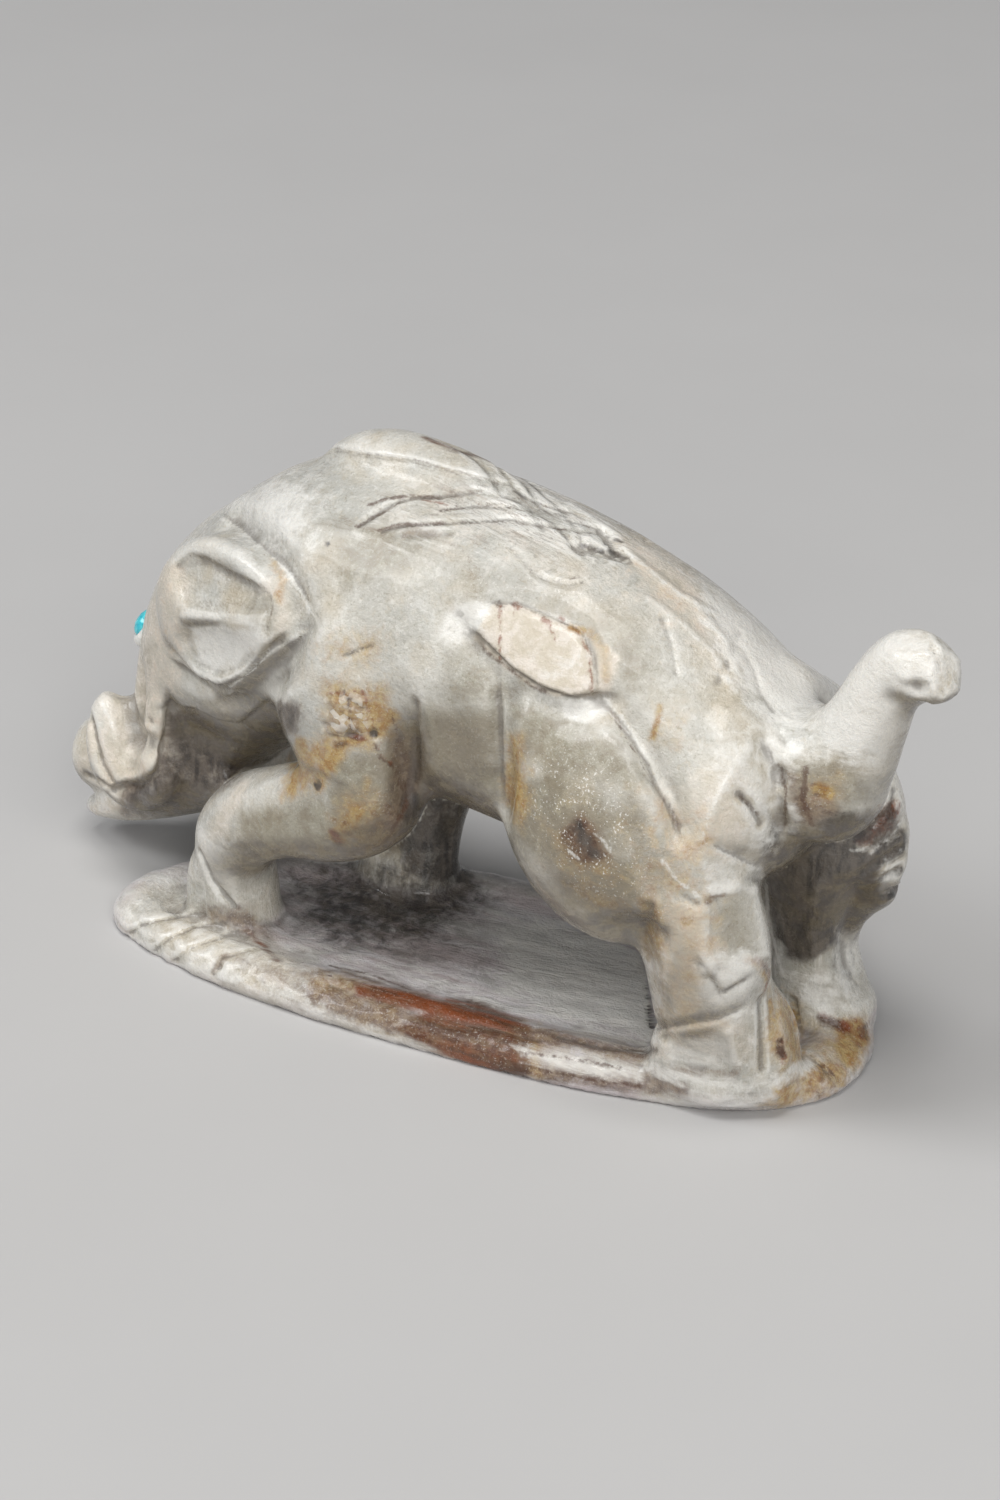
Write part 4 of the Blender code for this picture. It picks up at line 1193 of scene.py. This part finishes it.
    rough = n.maths("ADD", n.span(mottle, 0.35, 0.65, 0.32, 0.16), n.times(plinth, 0.14))
    rough = n.maths("ADD", rough, n.times(glue, 0.3), clamp=True)
    normal = n.bumps((grain, 0.00007), (fleck, 0.00012),
                     (n.times(plinth, n.maths("ADD", veil, n.times(strands, 0.4))), 0.00022),
                     (n.times(hair, hairs), 0.00025), (n.times(limb, runs), 0.00008),
                     (n.times(crystal, grain_light), 0.00012))
    return n.finish({"Base Color": base, "Roughness": rough, "Normal": normal,
                     "Subsurface Weight": 0.1, "Subsurface Radius": (1.0, 0.85, 0.7),
                     "Subsurface Scale": 0.001, "Coat Weight": 0.4, "Coat Roughness": 0.1})


def turquoise_material():
    n = Nodes("turquoise")
    cloud = n.noise(1400, 3, 0.6)
    base = n.coats(n.blend(cloud, 0.35, 0.65, TURQUOISE, PALE_TURQUOISE),
                   (n.noise(4200, 2), 0.6, 0.7, 0.35, DARK_TURQUOISE))
    return n.finish({"Base Color": base, "Roughness": n.span(cloud, 0.3, 0.7, 0.3, 0.18),
                     "Normal": n.bumps((n.noise(5000, 2), 0.00001)), "Coat Weight": 0.3})


def floor_material():
    n = Nodes("pale_floor")
    return n.finish({"Base Color": n.mix(n.noise(30), *FLOOR_TONES), "Roughness": 0.7})


# Assembly

FLOOR_SIZE = 3.0
SENSOR = 36.0
CLIP = (0.01, 20)
LAMPS_AIM = Vector((0, 0, 0.02))
# name, place, size in metres, watts, colour
LAMPS = (
    ("overhead", (0.03, -0.20, 1.0), 0.42, 5.0, (1.0, 0.99, 0.98)),
    ("front_left", (-0.66, -0.52, 0.80), 0.45, 5.2, (0.98, 0.99, 1.0)),
    ("front_right", (0.72, -0.46, 0.75), 0.50, 3.2, (1.0, 0.99, 0.98)),
    ("low_right", (0.50, -0.72, 0.38), 0.45, 2.8, (1.0, 0.99, 0.97)),
)
STUDIO = {"Color": (0.92, 0.95, 1.0, 1), "Strength": 0.12}


def thinned(skin):
    """The skin's mesh with fewer triangles where the camera doesn't see it."""
    thing = placed("thin", skin.mesh)
    thing.vertex_groups.new(name="hidden").add(np.nonzero(skin.seen <= 0)[0].tolist(), 1.0, "REPLACE")
    return applied(thing, ("DECIMATE", {"vertex_group": "hidden",
                                        "ratio": TRIANGLES / (2 * len(skin.mesh.polygons))}))


def dressed_stone():
    axes = eye_axes()
    skin = fine_skin()
    flat = skin.spots[:, 2] < FLAT_REACH
    carve(skin)
    flatten_underside(skin, flat)
    open_sockets(skin, axes)
    mesh = thinned(skin)
    masks = paint(Skin(mesh))
    store_masks(mesh, masks, add_beds(mesh, axes))
    store_flow(mesh)
    mesh.shade_smooth()
    mesh.materials.clear()
    mesh.materials.append(stone_material())
    carving = placed("carved_stone", mesh)
    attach(carving, "root")
    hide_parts("hog_carving")


def dressed_eyes():
    material = turquoise_material()
    for name in ("eye_left", "eye_right"):
        for slot in frame["nodes"][name].material_slots:
            slot.material = material


def add_floor():
    bm = bmesh.new()
    bmesh.ops.create_grid(bm, x_segments=2, y_segments=2, size=FLOOR_SIZE)
    mesh = bpy.data.meshes.new("floor")
    bm.to_mesh(mesh)
    bm.free()
    mesh.materials.append(floor_material())
    placed("floor", mesh)


def add_lights():
    for name, place, size, watts, tint in LAMPS:
        lamp = bpy.data.lights.new(name, "AREA")
        lamp.size = size
        lamp.energy = watts
        lamp.color = tint
        thing = placed(name, lamp)
        thing.location = place
        thing.rotation_euler = (LAMPS_AIM - Vector(place)).to_track_quat("-Z", "Y").to_euler()
    world = bpy.data.worlds.new("studio")
    world.use_nodes = True
    for key, value in STUDIO.items():
        world.node_tree.nodes["Background"].inputs[key].default_value = value
    bpy.context.scene.world = world
    bpy.context.scene.view_settings.view_transform = "Standard"


def add_camera():
    lens = bpy.data.cameras.new("camera")
    lens.sensor_width = SENSOR
    lens.lens = SENSOR * FOCAL / IMAGE[1]
    lens.clip_start, lens.clip_end = CLIP
    turn = Matrix((RIGHT, UP, BACK)).transposed()
    thing = placed("camera", lens)
    thing.matrix_world = Matrix.Translation(Vector(CAMERA) / 1000) @ turn.to_4x4()
    bpy.context.scene.camera = thing


dressed_stone()
dressed_eyes()
add_floor()
add_lights()
add_camera()
bpy.context.view_layer.update()
